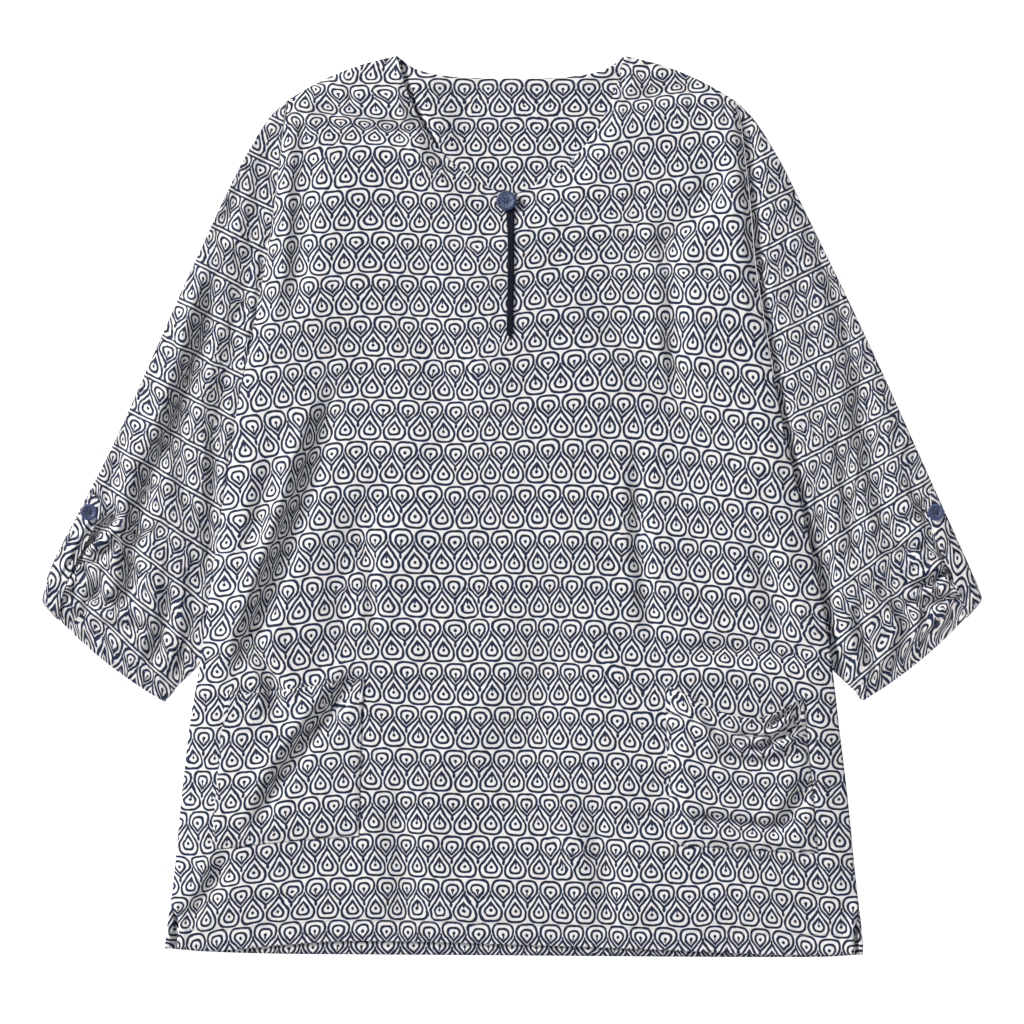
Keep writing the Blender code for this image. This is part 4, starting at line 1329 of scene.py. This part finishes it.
def makeButton(name, look, at, material):
    radius, thickness, shank = look["radius"], look["thickness"], look["shank"]
    profile = [(radius * out, thickness * up) for out, up in buttonSection]
    if shank:
        profile += [(2.3, 0), (1.9, -0.3), (1.9, -shank + 0.3), (2.2, -shank)]
    shape = bmesh.new()
    line = [shape.verts.new((out * mm, 0, up * mm)) for out, up in (*profile, (0, -shank))]
    edges = [shape.edges.new(pair) for pair in zip(line, line[1:])]
    bmesh.ops.spin(shape, geom=line + edges, cent=(0, 0, 0), axis=(0, 0, 1), dvec=(0, 0, 0),
                   angle=2 * math.pi, steps=64, use_merge=True, use_duplicate=False)
    bmesh.ops.remove_doubles(shape, verts=shape.verts, dist=0.000002)
    bmesh.ops.recalc_face_normals(shape, faces=shape.faces)
    bmesh.ops.translate(shape, verts=shape.verts, vec=Vector(at) * mm)
    return pieceFrom(name, shape, material)


def makeButtonMaterial(name, look, at):
    material, tree, shader = newMaterial(name)
    middle = (-at[0] * mm, -at[1] * mm, 0)
    here = newNode("Mapping", {"Vector": objectPlace(tree), "Location": middle})["Vector"]
    x, y = [times(part, 1000) for part in splitVector(here)[:2]]
    onRim = steps(lengthOf(x, y), look["radius"] * 0.66, look["radius"] * 0.8)
    flecks = steps(noiseAt(here, 950, 2), 0.50, 0.62)
    cloudy = noiseAt(here, 260, 3)
    colour = mixColour(times(flecks, 0.75), look["colour"], look["flecks"])
    colour = mixColour(times(onRim, 0.75), colour, look["rim"])
    colour = mixColour(steps(cloudy, 0.35, 0.75), colour, buttons["clouds"], "MULTIPLY")
    # four holes in a square round the middle, painted, not cut: near-black painted shade, sunk by
    # a bump
    ring = look["holeRing"] * math.sqrt(0.5)
    away = lengthOf(less(absolute(x), ring), less(absolute(y), ring))
    hole = steps(away, look["hole"] * 1.12, look["hole"] * 0.82)
    height = timesPlus(hole, -1, times(cloudy, 0.12))
    setInputs(shader, {
        "Base Color": mixColour(hole, colour, buttons["paintedHoleShade"]),
        "Roughness": timesPlus(flecks, 0.14, 0.38), "Normal": bumped(height, 0.5)})
    return material


threads = {
    "navyThread": {"colour": (0.020, 0.028, 0.075), "pale": (0.09, 0.11, 0.19)},
    "paleThread": {"colour": (0.36, 0.27, 0.19), "pale": (0.62, 0.52, 0.42)},
}


def makeThreadMaterial(name):
    look = threads[name]
    material, tree, shader = newMaterial(name)
    twist = newNode("TexWave", {"Vector": objectPlace(tree), "Scale": 420, "Distortion": 2,
                                "Detail": 2})["Fac"]
    setInputs(shader, {"Base Color": mixColour(twist, look["colour"], look["pale"]),
                       "Roughness": timesPlus(twist, 0.15, 0.55), "Normal": bumped(twist, 0.12)})
    return material


navyThread, paleThread = [makeThreadMaterial(name) for name in threads]


def strand(name, points, thickness, material, closed=False):
    # a round thread or cord through the points, in mm
    data = bpy.data.curves.new(name, "CURVE")
    data.dimensions = "3D"
    data.bevel_depth = thickness / 2 * mm
    data.bevel_resolution = 3
    data.resolution_u = 6
    data.use_fill_caps = True
    line = data.splines.new("NURBS")
    line.points.add(len(points) - 1)
    for point, place in zip(line.points, points):
        point.co = (*(Vector(place) * mm), 1)
    line.order_u = 4
    line.use_endpoint_u = not closed
    line.use_cyclic_u = closed
    return placed(name, data, material)


def crossStitches(name, look, at):
    # two stitches from hole to hole, one over the other
    half = look["holeRing"] * math.sqrt(0.5)
    dish = at[2] + look["thickness"] * buttons["middle"]
    for index, way in enumerate((1, -1)):
        high = 0.36 + 0.1 * index
        points = [(at[0] + way * half * k, at[1] + half * k, dish + up) for k, up in
                  ((-1, -0.5), (-0.92, 0.18), (-0.4, high), (0.4, high), (0.92, 0.18), (1, -0.5))]
        piece = strand(name + str(index + 1), points, 0.55, navyThread)


def makeThreadEnd(at, bandTop):
    # a loose end of the thread that the button is sewn on with
    points = [(at[0] + across, at[1] + up, bandTop + high) for across, up, high in
              ((0.6, -4, 1.6), (0.7, -7.6, 1.2), (0.9, -9.8, 0.9), (0.5, -12.2, 0.6),
               (0.9, -14.4, 0.4))]
    piece = strand("neckButtonThreadEnd", points, 0.9, paleThread)


buttonLoop = {"points": 22, "radius": 2.95, "drawn": 9.5, "cord": 1.3, "above": 0.95}


def makeLoop(at, bandTop):
    # a closed cord round the button's shank, drawn out over the slit's other leg
    look = buttonLoop
    points = []
    for turn in np.linspace(0, 2 * math.pi, look["points"], endpoint=False):
        stretch = look["drawn"] * max(0, math.cos(turn)) ** 1.5
        points.append((at[0] + look["radius"] * math.cos(turn) + stretch,
                       at[1] + look["radius"] * math.sin(turn) - stretch * 0.2,
                       bandTop + look["above"]))
    piece = strand("buttonLoop", points, look["cord"], navyThread, closed=True)
    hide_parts("button_loop")


def makeButtons():
    slitTop = float(frontSpots(np.float64(0.5), np.float64(0.01))[2])
    bandTop = slitTop + binding["proud"] + binding["crown"]
    look = buttons["neck"]
    at = (*look["at"], bandTop + 0.2 + look["shank"])
    material = makeButtonMaterial("neckButtonResin", look, at)
    piece = makeButton("neckButton", look, at, material)
    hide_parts("neck_button")
    crossStitches("neckButtonThread", look, at)
    makeLoop(at, bandTop)
    makeThreadEnd(at, bandTop)
    look = buttons["sleeve"]
    for side in wayOut:
        x, y, z = [float(v) for v in tabSpots(side, *map(np.float64, look["onTab"]))]
        at = (x, y, z + 0.12)
        material = makeButtonMaterial("sleeveButtonResin" + side.title(), look, at)
        piece = makeButton("sleeveButton" + side.title(), look, at, material)
        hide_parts("sleeve_button_" + side)
        crossStitches("sleeveButtonThread" + side.title(), look, at)


makeButtons()
print("buttons sewn on")


# Floor and lights
studio = {
    "floor": (0.93, 0.925, 0.92), "floorLight": (0.945, 0.943, 0.94),
    "floorGlow": 0.75,      # lit from below, as a light table
    "world": (0.98, 0.985, 1), "worldStrength": 0.35,
    "key": {"at": (-9.2, 5.1, 5.6), "size": 3.3, "power": 1880, "colour": (1, 0.985, 0.965)},
    "fill": {"at": (2.6, -1.6, 3.2), "size": 3, "power": 18, "colour": (0.96, 0.98, 1)},
}


def makeFloor():
    shape = bmesh.new()
    bmesh.ops.create_grid(shape, x_segments=2, y_segments=2, size=4)
    bmesh.ops.translate(shape, verts=shape.verts, vec=(0, 0, -0.0002))
    data = bpy.data.meshes.new("floor")
    shape.to_mesh(data)
    shape.free()
    material, tree, shader = newMaterial("paleFloor")
    faint = noiseAt(objectPlace(tree), 3, 3)
    setInputs(shader, {
        "Base Color": mixColour(faint, studio["floor"], studio["floorLight"]),
        "Roughness": 0.9, "Emission Color": (1, 1, 1), "Emission Strength": studio["floorGlow"]})
    data.materials.append(material)
    floor = bpy.data.objects.new("floor", data)
    bpy.context.scene.collection.objects.link(floor)


def makeLight(name, look):
    data = bpy.data.lights.new(name, "AREA")
    data.size = look["size"]
    data.energy = look["power"]
    data.color = look["colour"]
    light = bpy.data.objects.new(name, data)
    light.location = look["at"]
    light.rotation_euler = (-Vector(look["at"])).to_track_quat("-Z", "Y").to_euler()
    bpy.context.scene.collection.objects.link(light)


makeFloor()
makeLight("keyLight", studio["key"])
makeLight("fillLight", studio["fill"])
world = bpy.data.worlds.new("studioWorld")
world.use_nodes = True
setInputs(world.node_tree.nodes["Background"],
          {"Color": studio["world"], "Strength": studio["worldStrength"]})
bpy.context.scene.world = world
bpy.context.scene.view_settings.view_transform = "Standard"
print("studio ready")
